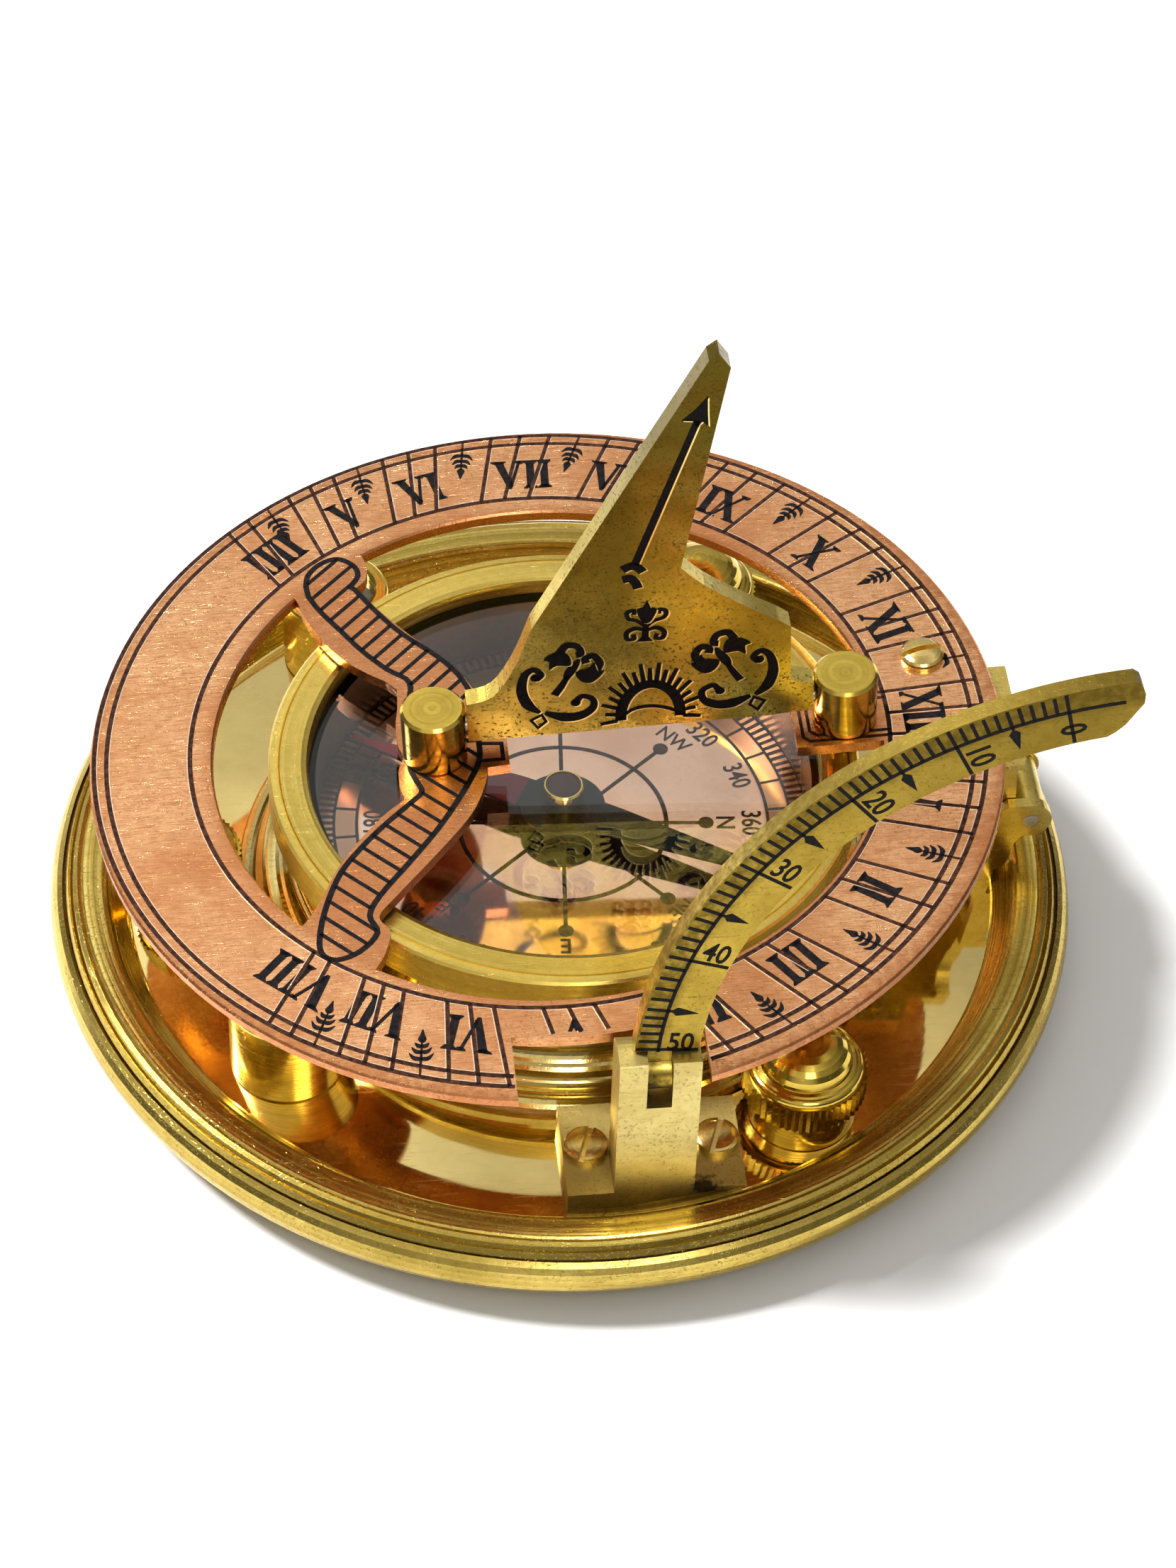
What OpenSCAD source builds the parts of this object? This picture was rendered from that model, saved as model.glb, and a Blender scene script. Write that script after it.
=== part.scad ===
// Sundial compass: a horizontal dial whose hour ring tilts to the latitude over a bowl compass.
// X runs along the noon line towards the hinge of the hour ring, and the latitude arc stands at -Y.
// The origin is on the table, under the middle of the compass. All lengths are millimetres.

/* [Base] */
// Radius of the base at its rounded edge
base_r = 63.5; // [61:0.5:80]
// Height of the rim above the underside of the base
rim_h = 7.5; // [7:0.25:8.5]
// Width of the rim from its rounded edge to its inner lip
rim_w = 7.8; // [7:0.1:8.2]
// Radius of the rounded edge
bead_r = 3; // [2:0.25:3.2]
// Height of the polished floor above the underside of the base
floor_h = 4; // [3.2:0.2:5]
// Thickness of the polished floor
floor_t = 2.4; // [1.6:0.2:3]

/* [Compass] */
// Width of the channel between the rim and the foot of the bowl
channel_w = 13.8; // [12:0.1:15]
// Reach of the bowl's moulded foot beyond its wall
case_foot_out = 6.6; // [5.5:0.1:7]
// Reach of the bezel beyond the bowl's wall
bezel_out = 2.4; // [1.6:0.1:3]
// Width of the bezel, seen from above
bezel_w = 4.9; // [4:0.1:5.6]
// Height of the bezel
bezel_h = 3.6; // [3.2:0.1:5]
// Height of the bezel's top above the floor
bezel_top = 21.1; // [19:0.1:21.2]
// Thickness of the glass
glass_t = 1.4; // [1:0.1:1.6]
// Height of the card's face above the floor
card_h = 9.4; // [7:0.1:10]
// Thickness of the card
card_t = 0.8; // [0.5:0.1:1.2]
// Space between the needle's ends and the edge of the card
needle_space = 1.9; // [1.2:0.1:8]
// Direction in which the north end of the needle points
needle_az = 151.5; // [0:0.5:360]
// Height of the needle above the card's face
needle_gap = 2.4; // [1.6:0.1:3.4]
// Radius of the brass cap on the needle
cap_r = 2.55; // [2:0.05:3.5]
// Height of the brass cap on the needle
cap_h = 3.6; // [2.6:0.1:3.8]

/* [Hour ring] */
// Distance of the ring's edge inside the lip of the rim
ring_inset = 0.35; // [0.2:0.05:1]
// Width of the hour ring
ring_w = 14.85; // [13:0.05:15]
// Thickness of the hour ring
ring_t = 1.5; // [1.2:0.1:1.7]
// Distance of the ring's middle from the compass, away from the hinge
ring_back = 2.17; // [1.6:0.01:2.6]
// Height of the ring's face above the floor, at its middle
ring_h = 24.1; // [24:0.1:26]
// Rise of the ring towards its hinge, at rest
ring_rise = 2.55; // [2.3:0.05:3]
// Space between the floor of the notch and the upright of the arc's bracket
notch_space = 1.2; // [0.8:0.1:2]
// Width of the round-cornered tab under the hinge post
tab_w = 9; // [8:0.25:11]

/* [Posts and gnomon] */
// Radius of the two posts
post_r = 3.9; // [3.4:0.1:4.4]
// Height of the two posts above the ring
post_h = 7.8; // [7:0.1:10]
// Distance of the foot post from the ring's middle, away from the hinge
foot_post_u = 13.6; // [13:0.1:14]
// Distance of the stop under the hinge post inside the edge of the bezel
stop_inset = 1.87; // [1.6:0.01:2.2]
// Height of the gnomon's pivot above the ring
pivot_h = 4.5; // [4:0.1:5.5]
// Height of the gnomon's tip above its pivot
gnomon_h = 57.1; // [50:0.1:58]
// Distance of the gnomon's tip from the ring's middle, towards the hinge
gnomon_tip_u = 20.4; // [18:0.1:22]
// Thickness of the gnomon
gnomon_t = 2.5; // [2:0.1:3.2]
// Radius of the gnomon's two pivot pins
gnomon_pin_r = 0.9; // [0.6:0.05:0.9]

/* [Hinge of the hour ring] */
// Distance of the hinge beyond the ring's edge
hinge_out = 3.75; // [3.5:0.05:4.5]
// Depth of the hinge below the ring's face
hinge_drop = 15.95; // [14:0.05:16.4]
// Radius of the hinge barrel
barrel_r = 2.2; // [2:0.05:2.5]
// Length of the hinge barrel
barrel_len = 7.8; // [6:0.1:9]
// Thickness of each ear of the hinge bracket
ear_t = 1.4; // [1.2:0.1:2]
// Radius of the hinge pin
hinge_pin_r = 1; // [0.8:0.05:1.2]
// Thickness of the hinge leaf
leaf_t = 1.8; // [1.4:0.1:2]

/* [Latitude arc] */
// Outer radius of the latitude arc
arc_r = 57.6; // [56.4:0.1:58.2]
// Width of the latitude arc
arc_w = 7.4; // [6:0.1:8]
// Thickness of the latitude arc
arc_t = 2.2; // [1.8:0.1:2.3]
// Distance of the arc's outer edge from the bracket's middle, where the arc is upright
arc_side = 3.1; // [2.8:0.1:3.4]
// Height of the arc's centre above the floor
arc_h = 22.7; // [22:0.1:23.4]
// Angle of the arc's free end above the level
arc_end = 86; // [70:0.5:88]
// Lean of the arc towards the ring, at rest
arc_lean = 3; // [2:0.25:3]
// Radius of the pin on which the arc folds
arc_pin_r = 0.8; // [0.6:0.05:0.9]

/* [Bracket of the latitude arc] */
// Distance of the bracket's front face inside the lip of the rim
bracket_inset = 2; // [1.5:0.1:2.5]
// Width of the bracket's upright
upright_w = 9.4; // [9:0.1:9.6]
// Depth of the bracket's upright from front to back
upright_d = 6.2; // [5:0.1:6.4]
// Height of the upright above the floor
upright_h = 27; // [26.2:0.1:27.2]
// Distance of the upright's middle from the compass, towards the hinge
upright_x = 5.5; // [5.2:0.1:5.8]
// Width of the slot for the arc
slot_w = 2.9; // [2.4:0.1:3.4]
// Depth of the slot for the arc
slot_d = 7.6; // [6.8:0.1:9]
// Height of the pin above the floor
arc_pin_h = 23.3; // [22.9:0.1:23.6]
// Width of the bracket's foot
foot_w = 21; // [20:0.5:22]
// Height of the bracket's foot
foot_h = 4.2; // [3.6:0.1:5]

/* [Levelling screws and levels] */
// Distance of the levelling screws inside the foot of the rim
level_screw_in = 7; // [6.8:0.1:7.4]
// Radius of the knurled knobs
knob_r = 7.45; // [6.8:0.05:7.6]
// Height of the knurled band of a knob
knurl_h = 4.5; // [3.5:0.1:5]
// Height of a knob's dome above its knurled band
dome_h = 4.6; // [3:0.1:5]
// Height of the bush under a knob
bush_h = 4.1; // [3.6:0.1:4.2]
// Space between a bush and the walls of the channel
bush_space = 0.5; // [0.3:0.1:1.5]
// Radius of the levelling screws' stems
stem_r = 2.1; // [1.6:0.05:2.4]
// Length by which the levelling screws stand out under the base, at rest
foot_reach = 2.5; // [1:0.25:4]
// Radius of the round levels
level_r = 6.85; // [6.2:0.05:7]
// Height of the round levels above the floor
level_h = 12; // [10:0.25:12.5]

/* [Hidden] */
$fn = 96;

brass = [0.80, 0.67, 0.32];
dark_brass = [0.62, 0.50, 0.20];
copper = [0.86, 0.58, 0.42];
glass_tint = [0.80, 0.88, 0.88, 0.5];

// Clearances: face to face on different bodies, round a turning pin, round a fixed pin or screw
gap = 0.3;
running = 0.06;
snug = 0.03;
eps = 0.01;

// Heights of the base
base_z = foot_reach;
floor_z = base_z + floor_h;
rim_z = base_z + rim_h;
lip_r = base_r - rim_w;
well_r = lip_r - 1.7;
case_foot_r = well_r - channel_w;
case_r = case_foot_r - case_foot_out;
bezel_r = case_r + bezel_out;
window_r = bezel_r - bezel_w;

// Heights and radii inside the compass
case_wall = 2.1;
card_r = case_r - case_wall - 0.2;
needle_len = card_r - needle_space;
card_z = floor_z + card_h;
case_top_z = floor_z + bezel_top - bezel_h;
seat_ring_h = 1;
glass_z = case_top_z;
glass_r = case_r - 0.4;
needle_z = card_z + needle_gap;
needle_t = 0.5;
pivot_r = 1.1;
case_bowl_z = floor_z + 3;

// Middle of the hour ring and of its hinge, in the frame of the base
ring_z = floor_z + ring_h;
ring_r = lip_r - ring_inset;
ring_in_r = ring_r - ring_w;
head_post_u = bezel_r - stop_inset + ring_back;
hinge_u = ring_r + hinge_out;
hinge_x = hinge_u * cos(ring_rise) + hinge_drop * sin(ring_rise) - ring_back;
hinge_z = ring_z + hinge_u * sin(ring_rise) - hinge_drop * cos(ring_rise);

// Screws of the hinge leaf, and the studs and nuts of the posts
leaf_screw_u = ring_r - 8.15;
leaf_screw_v = 9;
screw_shank_r = 1.1;
screw_head_r = 2.7;
screw_head_h = 1.2;
stud_r = 1.5;
nut_h = 1.2;
nut_r = 3.1;

// Place of the arc's bracket, and the notch that passes the arc
bracket_front = lip_r - bracket_inset;
arc_x = upright_x + arc_r - arc_side;
notch_r = bracket_front - upright_d - notch_space;
notch_from = upright_x - 14.1;
notch_to = upright_x + 8;

// Screws of the bowl, under the base
case_screw_az = [30, 150, 270];
case_screw_r = case_r - 8;
case_screw_head_r = 2.2;
case_screw_head_h = 1;

// Screws in the feet of the hinge bracket and of the arc's bracket
hinge_screw_x = hinge_x - 8.4;
hinge_screw_y = 2.05;
hinge_plate_t = 2;
bracket_foot_x = upright_x + 0.4;
bracket_screw_y = -bracket_front + 6.9;
bracket_screw_side = foot_w / 2 - 2.8;

// Pin and body of the latitude arc
arc_pin_y = -bracket_front + 2.8;
arc_pin_z = floor_z + arc_pin_h;
upright_top_z = floor_z + upright_h;
arc_foot_z = upright_top_z + gap;

// A point at radius r and angle a round a centre
function polar(c, r, a) = [c[0] + r * cos(a), c[1] + r * sin(a)];

// Azimuths of the three levelling screws, the first one beside the arc's bracket
level_screw_r = well_r - level_screw_in;
bush_r = channel_w / 2 - bush_space;
bracket_space = 2.1;
screw_az = [-acos((bracket_foot_x + foot_w / 2 + bracket_space + bush_r) / level_screw_r), 62, 180];

// Places and walls of the two round levels
front_level_at = polar([0, 0], well_r - 9.25, 217.1);
rear_level_at = polar([0, 0], well_r - 5.8, 121.7);
level_floor = 3;
level_cap_h = 1.6;
level_wall = 1.4;

// Points of an arc from angle a to angle b
function arc_points(c, r, a, b, n = 8) = [for (i = [0 : n]) polar(c, r, a + (b - a) * i / n)];

// A point of the smooth curve through p1 and p2, whose neighbours are p0 and p3
function curve_point(p0, p1, p2, p3, t) =
    0.5 * (2 * p1 + (p2 - p0) * t + (2 * p0 - 5 * p1 + 4 * p2 - p3) * pow(t, 2)
    + (3 * p1 - p0 - 3 * p2 + p3) * pow(t, 3));

// Points of a smooth open curve through the points p, n steps for each span
function curve(p, n = 4) = concat([for (i = [0 : len(p) - 2], j = [0 : n - 1])
    curve_point(p[max(i - 1, 0)], p[i], p[i + 1], p[min(i + 2, len(p) - 1)], j / n)],
    [p[len(p) - 1]]);

// Puts a piece into the frame of the tilted ring: its face at z = 0, its middle at the origin
module on_ring() {
    translate([-ring_back, 0, ring_z]) rotate([0, -ring_rise, 0]) children();
}

// Puts a piece drawn in the arc's plane, with its pin at the origin, onto the pin
module on_arc_pin() {
    translate([0, arc_pin_y, arc_pin_z]) rotate([-arc_lean, 0, 0]) children();
}

// A round bar with chamfered ends, standing on z = 0
module turned(r, h, top = 0.3, foot = 0.3) {
    rotate_extrude() polygon([[0, 0], [r - foot, 0], [r, foot], [r, h - top], [r - top, h], [0, h]]);
}

// A slotted screw: its head stands on z = 0 and its shank hangs below. The share of the head's
// height that is straight side makes it a cheese head or a domed one.
module slotted_screw(head_r, head_h, shank_r, shank, turn = 0, side = 0.6) {
    slot = head_r / 3.6;
    difference() {
        union() {
            rotate_extrude() polygon(concat([[0, 0], [head_r, 0]],
                [for (t = [0 : 15 : 75]) [head_r * cos(t), head_h * (side + (1 - side) * sin(t))]],
                [[0, head_h]]));
            translate([0, 0, -shank]) cylinder(r = shank_r, h = shank + eps);
        }
        rotate([0, 0, turn]) translate([-head_r - 1, -slot / 2, head_h * 0.4])
            cube([2 * head_r + 2, slot, head_h]);
    }
}

// Base: a turned dish with a polished floor and a stepped rim
module base_dish() {
    groove = 0.25;
    band_r = base_r - 3;
    profile = concat(
        [[0, base_z + floor_h - floor_t], [lip_r - 6, base_z + floor_h - floor_t], [lip_r - 4, base_z]],
        [[base_r - bead_r - 1.6, base_z]],
        arc_points([base_r - bead_r, base_z + bead_r + 0.4], bead_r, -90, 62, 10),
        [[base_r - 1.4, rim_z - 1.8], [base_r - 1.6, rim_z - 2.1], [base_r - 1.85, rim_z - 1.6],
         [base_r - 2.35, rim_z - 0.7], [base_r - 2.6, rim_z - 1], [band_r, rim_z - 0.35],
         [band_r - 0.5, rim_z - 0.05], [band_r - 1, rim_z - groove], [band_r - 1.25, rim_z - 0.05],
         [lip_r + 1.3, rim_z]],
        arc_points([lip_r + 1.3, rim_z - 1.1], 1.1, 90, 165, 5),
        [[well_r, floor_z], [0, floor_z]]);
    color(brass) difference() {
        rotate_extrude($fn = 128) polygon(profile);
        for (a = screw_az)
            rotate([0, 0, a]) translate([level_screw_r, 0, base_z])
                cylinder(r = stem_r + running, h = rim_h);
        for (a = case_screw_az)
            rotate([0, 0, a]) translate([case_screw_r, 0, base_z])
                cylinder(r = screw_shank_r + snug, h = rim_h);
        for (side = [-1, 1]) {
            translate([bracket_foot_x + side * bracket_screw_side, bracket_screw_y, base_z])
                cylinder(r = screw_shank_r + snug, h = rim_h);
            translate([hinge_screw_x, side * hinge_screw_y, base_z])
                cylinder(r = screw_shank_r + snug, h = rim_h);
        }
        translate([rear_level_at[0], rear_level_at[1], floor_z]) cylinder(r = level_r + snug, h = rim_h);
    }
}

// Bowl of the compass: moulded foot, straight wall and a ledge for the card
module compass_case() {
    ledge_r = card_r - 2.2;
    wall_in = case_r - case_wall;
    outer = concat(
        [[0, floor_z], [case_foot_r, floor_z], [case_foot_r, floor_z + 1.1]],
        arc_points([case_foot_r - 0.2, floor_z + 3.4], 2.3, -90, -150, 4),
        [[case_r + 3.4, floor_z + 2.4]],
        arc_points([case_r + 2.7, floor_z + 3.5], 0.9, -40, 100, 7),
        [[case_r + 1.9, floor_z + 4.4]],
        arc_points([case_r + 2.2, floor_z + 6.8], 2.2, -110, -170, 5),
        arc_points([case_r + 0.1, floor_z + 7.4], 0.5, -30, 90, 5),
        [[case_r, floor_z + 8.1], [case_r, case_top_z]]);
    inner = [[wall_in, case_top_z], [wall_in, card_z - card_t], [ledge_r, card_z - card_t],
        [ledge_r, case_bowl_z + 1.5], [ledge_r - 1.5, case_bowl_z], [0, case_bowl_z]];
    color(brass) difference() {
        rotate_extrude($fn = 128) polygon(concat(outer, inner));
        for (a = case_screw_az)
            rotate([0, 0, a]) translate([case_screw_r, 0, floor_z - eps])
                cylinder(r = screw_shank_r + snug, h = 2.2);
        translate([0, 0, floor_z + 1]) cylinder(r = pivot_r + snug, h = 4);
        for (at = [front_level_at, rear_level_at])
            translate([at[0], at[1], floor_z - eps]) cylinder(r = level_r + 0.1, h = level_h);
    }
}

// Three screws that hold the bowl from under the base
module case_screws() {
    color(brass) for (a = case_screw_az)
        rotate([0, 0, a]) translate([case_screw_r, 0, floor_z - floor_t]) rotate([180, 0, 0])
            slotted_screw(case_screw_head_r, case_screw_head_h, screw_shank_r, floor_t + 2);
}

// Printed card, a thin plate on the ledge of the bowl
module compass_card() {
    color(copper) translate([0, 0, card_z - card_t]) difference() {
        turned(card_r, card_t, 0.15, 0.15);
        translate([0, 0, -1]) cylinder(r = pivot_r + snug, h = card_t + 2);
    }
}

// Steel pivot that carries the needle on its point
module needle_pivot() {
    tip_z = needle_z + needle_t + cap_h - 1.4;
    color("silver") rotate_extrude($fn = 32) polygon([
        [0, floor_z + 1], [pivot_r, floor_z + 1], [pivot_r, card_z + 0.6], [0.6, card_z + 1.2],
        [0.5, tip_z - 1.2], [0.05, tip_z], [0, tip_z]]);
}

// Magnetic needle: a flat lozenge with a round middle
module compass_needle() {
    hub_r = 5.2;
    half_w = 2.3;
    color([0.12, 0.12, 0.14]) translate([0, 0, needle_z]) rotate([0, 0, needle_az]) difference() {
        union() {
            linear_extrude(needle_t) polygon([[needle_len, 0], [needle_len - 1.2, 0.45], [7, half_w],
                [0, half_w + 0.3], [-7, half_w], [-needle_len + 1.2, 0.45], [-needle_len, 0],
                [-needle_len + 1.2, -0.45], [-7, -half_w], [0, -half_w - 0.3], [7, -half_w],
                [needle_len - 1.2, -0.45]]);
            cylinder(r = hub_r, h = needle_t);
        }
        translate([0, 0, -1]) cylinder(r = cap_r - 0.6, h = needle_t + 2);
    }
}

// Brass cap of the needle, hollow to take the pivot
module needle_cap() {
    color(brass) translate([0, 0, needle_z]) difference() {
        union() {
            cylinder(r = cap_r - 0.6 - snug, h = needle_t + eps);
            translate([0, 0, needle_t]) turned(cap_r, cap_h, 0.2, 0);
        }
        translate([0, 0, -1]) cylinder(r = 1.2, h = needle_t + cap_h - 0.3);
        translate([0, 0, needle_t + cap_h - 0.5]) cylinder(r = cap_r - 0.35, h = 1);
    }
}

// Dark jewel let into the top of the cap
module cap_jewel() {
    r = cap_r - 0.35 - snug;
    color([0.25, 0.14, 0.14]) translate([0, 0, needle_z + needle_t + cap_h - 0.5])
        rotate_extrude($fn = 48) polygon([[0, 0], [r, 0], [r, 0.3], [r - 0.3, 0.4], [0, 0.42]]);
}

// Spacer that stands on the card and steadies the glass
module glass_seat_ring() {
    color(dark_brass) translate([0, 0, card_z]) difference() {
        cylinder(r = card_r, h = glass_z - card_z);
        translate([0, 0, -1]) cylinder(r = card_r - seat_ring_h, h = glass_z - card_z + 2);
    }
}

// Flat glass, seated on the rim of the bowl
module compass_glass() {
    color(glass_tint) translate([0, 0, glass_z]) turned(glass_r, glass_t, 0.2, 0.2);
}

// Bezel: a turned cap ring with a fine groove, over the glass and the rim of the bowl
module compass_bezel() {
    top = floor_z + bezel_top;
    skirt = 1.6;
    groove_r = bezel_r - 1.3;
    color(brass) rotate_extrude($fn = 128) polygon([
        [case_r + snug, case_top_z - skirt], [bezel_r - 0.4, case_top_z - skirt],
        [bezel_r, case_top_z - skirt + 0.4], [bezel_r, top - 0.35], [bezel_r - 0.3, top - 0.05],
        [groove_r + 0.12, top], [groove_r, top - 0.2], [groove_r - 0.12, top],
        [window_r + 0.9, top], [window_r + 0.25, top - 0.25], [window_r, top - 0.8],
        [window_r, glass_z + glass_t + snug], [glass_r + snug, glass_z + glass_t + snug],
        [glass_r + snug, case_top_z + snug], [case_r + snug, case_top_z + snug]]);
}

// Puts a piece on the axis of one levelling screw
module at_levelling_screw(i) {
    rotate([0, 0, screw_az[i]]) translate([level_screw_r, 0, floor_z]) children();
}

// Tapped bush in which a levelling screw turns
module knob_bush(i) {
    color(brass) at_levelling_screw(i) difference() {
        turned(bush_r, bush_h, 0.3, 0.2);
        translate([0, 0, -1]) cylinder(r = stem_r + running, h = bush_h + 2);
    }
}

// Stem of a levelling screw, with the round foot that stands on the table
module levelling_stem(i) {
    top = bush_h + gap + knurl_h;
    foot = -floor_z;
    color(dark_brass) at_levelling_screw(i) rotate_extrude($fn = 48) polygon(concat(
        [[0, foot]], arc_points([stem_r - 1.2, foot + 1.2], 1.2, -90, 0, 5), [[stem_r, top], [0, top]]));
}

// Knob of a levelling screw: knurled band, round shoulder and dome
module levelling_knob(i) {
    teeth = 52;
    depth = 0.32;
    edge = 0.4;
    core_r = knob_r - 0.5;
    dome_r = knob_r - 1.9;
    color(brass) at_levelling_screw(i) translate([0, 0, bush_h + gap]) difference() {
        union() {
            translate([0, 0, edge]) linear_extrude(knurl_h - 2 * edge) polygon(
                [for (k = [0 : 2 * teeth - 1]) polar([0, 0], knob_r - (k % 2) * depth, k * 180 / teeth)]);
            rotate_extrude($fn = 64) polygon(concat(
                [[0, 0], [core_r - edge, 0], [core_r, edge]],
                arc_points([core_r - 0.9, knurl_h - 0.3], 0.9, 0, 80, 6),
                [[dome_r + 0.4, knurl_h + 0.75]],
                [for (t = [0 : 10 : 80]) [dome_r * cos(t), knurl_h + 0.9 + (dome_h - 0.9) * sin(t)]],
                [[0, knurl_h + dome_h]]));
        }
        translate([0, 0, -1]) cylinder(r = stem_r + running, h = knurl_h + 1 + running);
    }
}

// Round spirit level: a cup, the vial in it and the cap ring that holds the vial
module level_cup(at) {
    color(brass) translate([at[0], at[1], floor_z]) difference() {
        turned(level_r, level_h - level_cap_h, 0, 0.3);
        translate([0, 0, level_floor]) cylinder(r = level_r - level_wall, h = level_h);
    }
}

module level_vial(at) {
    r = level_r - level_wall - snug;
    h = level_h - level_floor - level_cap_h;
    color([0.35, 0.42, 0.28]) translate([at[0], at[1], floor_z + level_floor])
        rotate_extrude($fn = 64) polygon(concat([[0, 0], [r, 0], [r, h]],
            [[r - 1.7, h], [0, h + 0.7]]));
}

module level_cap(at) {
    r = level_r;
    h = level_cap_h;
    color(brass) translate([at[0], at[1], floor_z + level_h - h]) rotate_extrude($fn = 64)
        polygon(concat([[r - 1.9, 0], [r, 0]], arc_points([r - 0.7, h - 0.7], 0.7, 0, 90, 4),
            [[r - 1.5, h], [r - 1.9, h - 0.4]]));
}

// Bracket of the latitude arc: a slotted upright on a foot that clears the rim.
// The upright is rounded behind, about the pin, so that the arc can fold inwards.
module arc_bracket() {
    foot_d = bracket_front - case_foot_r - 0.1;
    cheek = (upright_w - slot_w) / 2;
    back_y = upright_d - bracket_front;
    swing_r = upright_top_z - arc_pin_z;
    back_a = acos(min(1, (back_y - arc_pin_y) / swing_r));
    color(brass) difference() {
        union() {
            translate([bracket_foot_x - foot_w / 2, -bracket_front, floor_z])
                cube([foot_w, foot_d, foot_h]);
            translate([upright_x - upright_w / 2, 0, 0]) rotate([90, 0, 90])
                linear_extrude(upright_w) polygon(concat(
                    [[-bracket_front, upright_top_z], [-bracket_front, floor_z], [back_y, floor_z]],
                    arc_points([arc_pin_y, arc_pin_z], swing_r, back_a, 90, 6)));
        }
        translate([upright_x - slot_w / 2, -bracket_front - 1, upright_top_z - slot_d])
            cube([slot_w, upright_d + 2, slot_d + 1]);
        translate([upright_x - upright_w, arc_pin_y, arc_pin_z]) rotate([0, 90, 0])
            cylinder(r = arc_pin_r + snug, h = 2 * upright_w);
        for (side = [-1, 1])
            translate([bracket_foot_x + side * bracket_screw_side, bracket_screw_y, floor_z - 1])
                cylinder(r = screw_shank_r + snug, h = foot_h + 2);
        rotate_extrude($fn = 128) translate([lip_r + 1, floor_z + 0.6]) circle(r = 3.1, $fn = 40);
        for (side = [-1, 1])
            translate([upright_x + side * (slot_w + cheek) / 2, -bracket_front - 0.4, upright_top_z])
                rotate([45, 0, 0]) cube([cheek + 1, 0.8, 0.8], center = true);
    }
}

module bracket_screws() {
    color(brass) for (side = [-1, 1])
        translate([bracket_foot_x + side * bracket_screw_side, bracket_screw_y, floor_z + foot_h])
            slotted_screw(screw_head_r - 0.1, screw_head_h + 0.2, screw_shank_r, foot_h + 2, 70);
}

module arc_pin() {
    color("silver") translate([upright_x - upright_w / 2, arc_pin_y, arc_pin_z]) rotate([0, 90, 0])
        cylinder(r = arc_pin_r, h = upright_w);
}

// Latitude arc: a flat quadrant with a cut-off tip, and the tongue by which it folds
module latitude_arc() {
    c = [arc_x, floor_z + arc_h - arc_pin_z];
    in_r = arc_r - arc_w;
    foot_w_pos = arc_foot_z - arc_pin_z;
    a0 = asin((foot_w_pos - c[1]) / arc_r);
    a1 = asin((foot_w_pos - c[1]) / in_r);
    tongue = slot_w - 2 * running;
    end_a = 180 - arc_end;
    blade = concat(
        arc_points(c, arc_r, 180 - a0, end_a + 1.4, 40),
        [polar(c, arc_r - 0.6, end_a + 0.7), polar(c, arc_r - 1.9, end_a + 0.3),
         polar(c, arc_r - 3.2, end_a + 0.4), polar(c, arc_r - 6, end_a + 2.6),
         polar(c, in_r + 0.5, end_a + 3.8)],
        arc_points(c, in_r, end_a + 4.9, 180 - a1, 36));
    color(brass) on_arc_pin() difference() {
        rotate([90, 0, 0]) union() {
            linear_extrude(arc_t, center = true) polygon(blade);
            translate([upright_x - tongue / 2, 0, -arc_t / 2])
                cube([tongue, foot_w_pos + 2, arc_t]);
            translate([upright_x - tongue / 2, 0, 0]) rotate([0, 90, 0])
                cylinder(r = arc_pin_r + 1.6, h = tongue, $fn = 48);
        }
        translate([upright_x - slot_w, 0, 0]) rotate([0, 90, 0])
            cylinder(r = arc_pin_r + running, h = 2 * slot_w);
    }
}

// Hinge bracket: a plate on the floor and two slender legs whose round ends hold the pin
module hinge_bracket() {
    plate_l = 11;
    end_r = 2.7;
    half = barrel_len / 2 + gap / 3 + ear_t;
    foot = floor_z + hinge_plate_t;
    ear = concat(
        curve([[well_r - 2.4, foot - eps], [well_r - 1.3, foot + 1.6], [well_r - 0.8, foot + 4],
            [well_r, hinge_z + end_r - 0.6]], 3),
        [[well_r + 0.7, hinge_z + end_r], [hinge_x, hinge_z + end_r]],
        arc_points([hinge_x, hinge_z], end_r, 80, -105, 14),
        [[well_r + 2.3, hinge_z - 3.2], [well_r + 1.95, hinge_z - 3.9], [well_r + 1.6, foot + 3.3],
         [well_r + 1.15, foot + 1.3], [well_r + 0.7, foot + 0.6], [well_r - 0.5, foot - eps]]);
    color(brass) difference() {
        union() {
            intersection() {
                translate([well_r - plate_l, -half, floor_z]) cube([plate_l, 2 * half, hinge_plate_t]);
                cylinder(r = well_r - 0.1, h = 2 * floor_z);
            }
            for (side = [-1, 1])
                translate([0, side * (half - ear_t / 2), 0]) rotate([90, 0, 0])
                    linear_extrude(ear_t, center = true) polygon(ear);
        }
        translate([hinge_x, half + 1, hinge_z]) rotate([90, 0, 0])
            cylinder(r = hinge_pin_r + snug, h = 2 * half + 2);
        for (side = [-1, 1])
            translate([hinge_screw_x, side * hinge_screw_y, floor_z - 1])
                cylinder(r = screw_shank_r + snug, h = hinge_plate_t + 2);
    }
}

module hinge_bracket_screws() {
    color(brass) for (side = [-1, 1])
        translate([hinge_screw_x, side * hinge_screw_y, floor_z + hinge_plate_t])
            slotted_screw(1.8, 1, screw_shank_r, floor_t + hinge_plate_t - 0.2, 20);
}

module hinge_pin() {
    half = barrel_len / 2 + gap / 3 + ear_t;
    color("silver") translate([hinge_x, half, hinge_z]) rotate([90, 0, 0])
        cylinder(r = hinge_pin_r, h = 2 * half);
}

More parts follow.
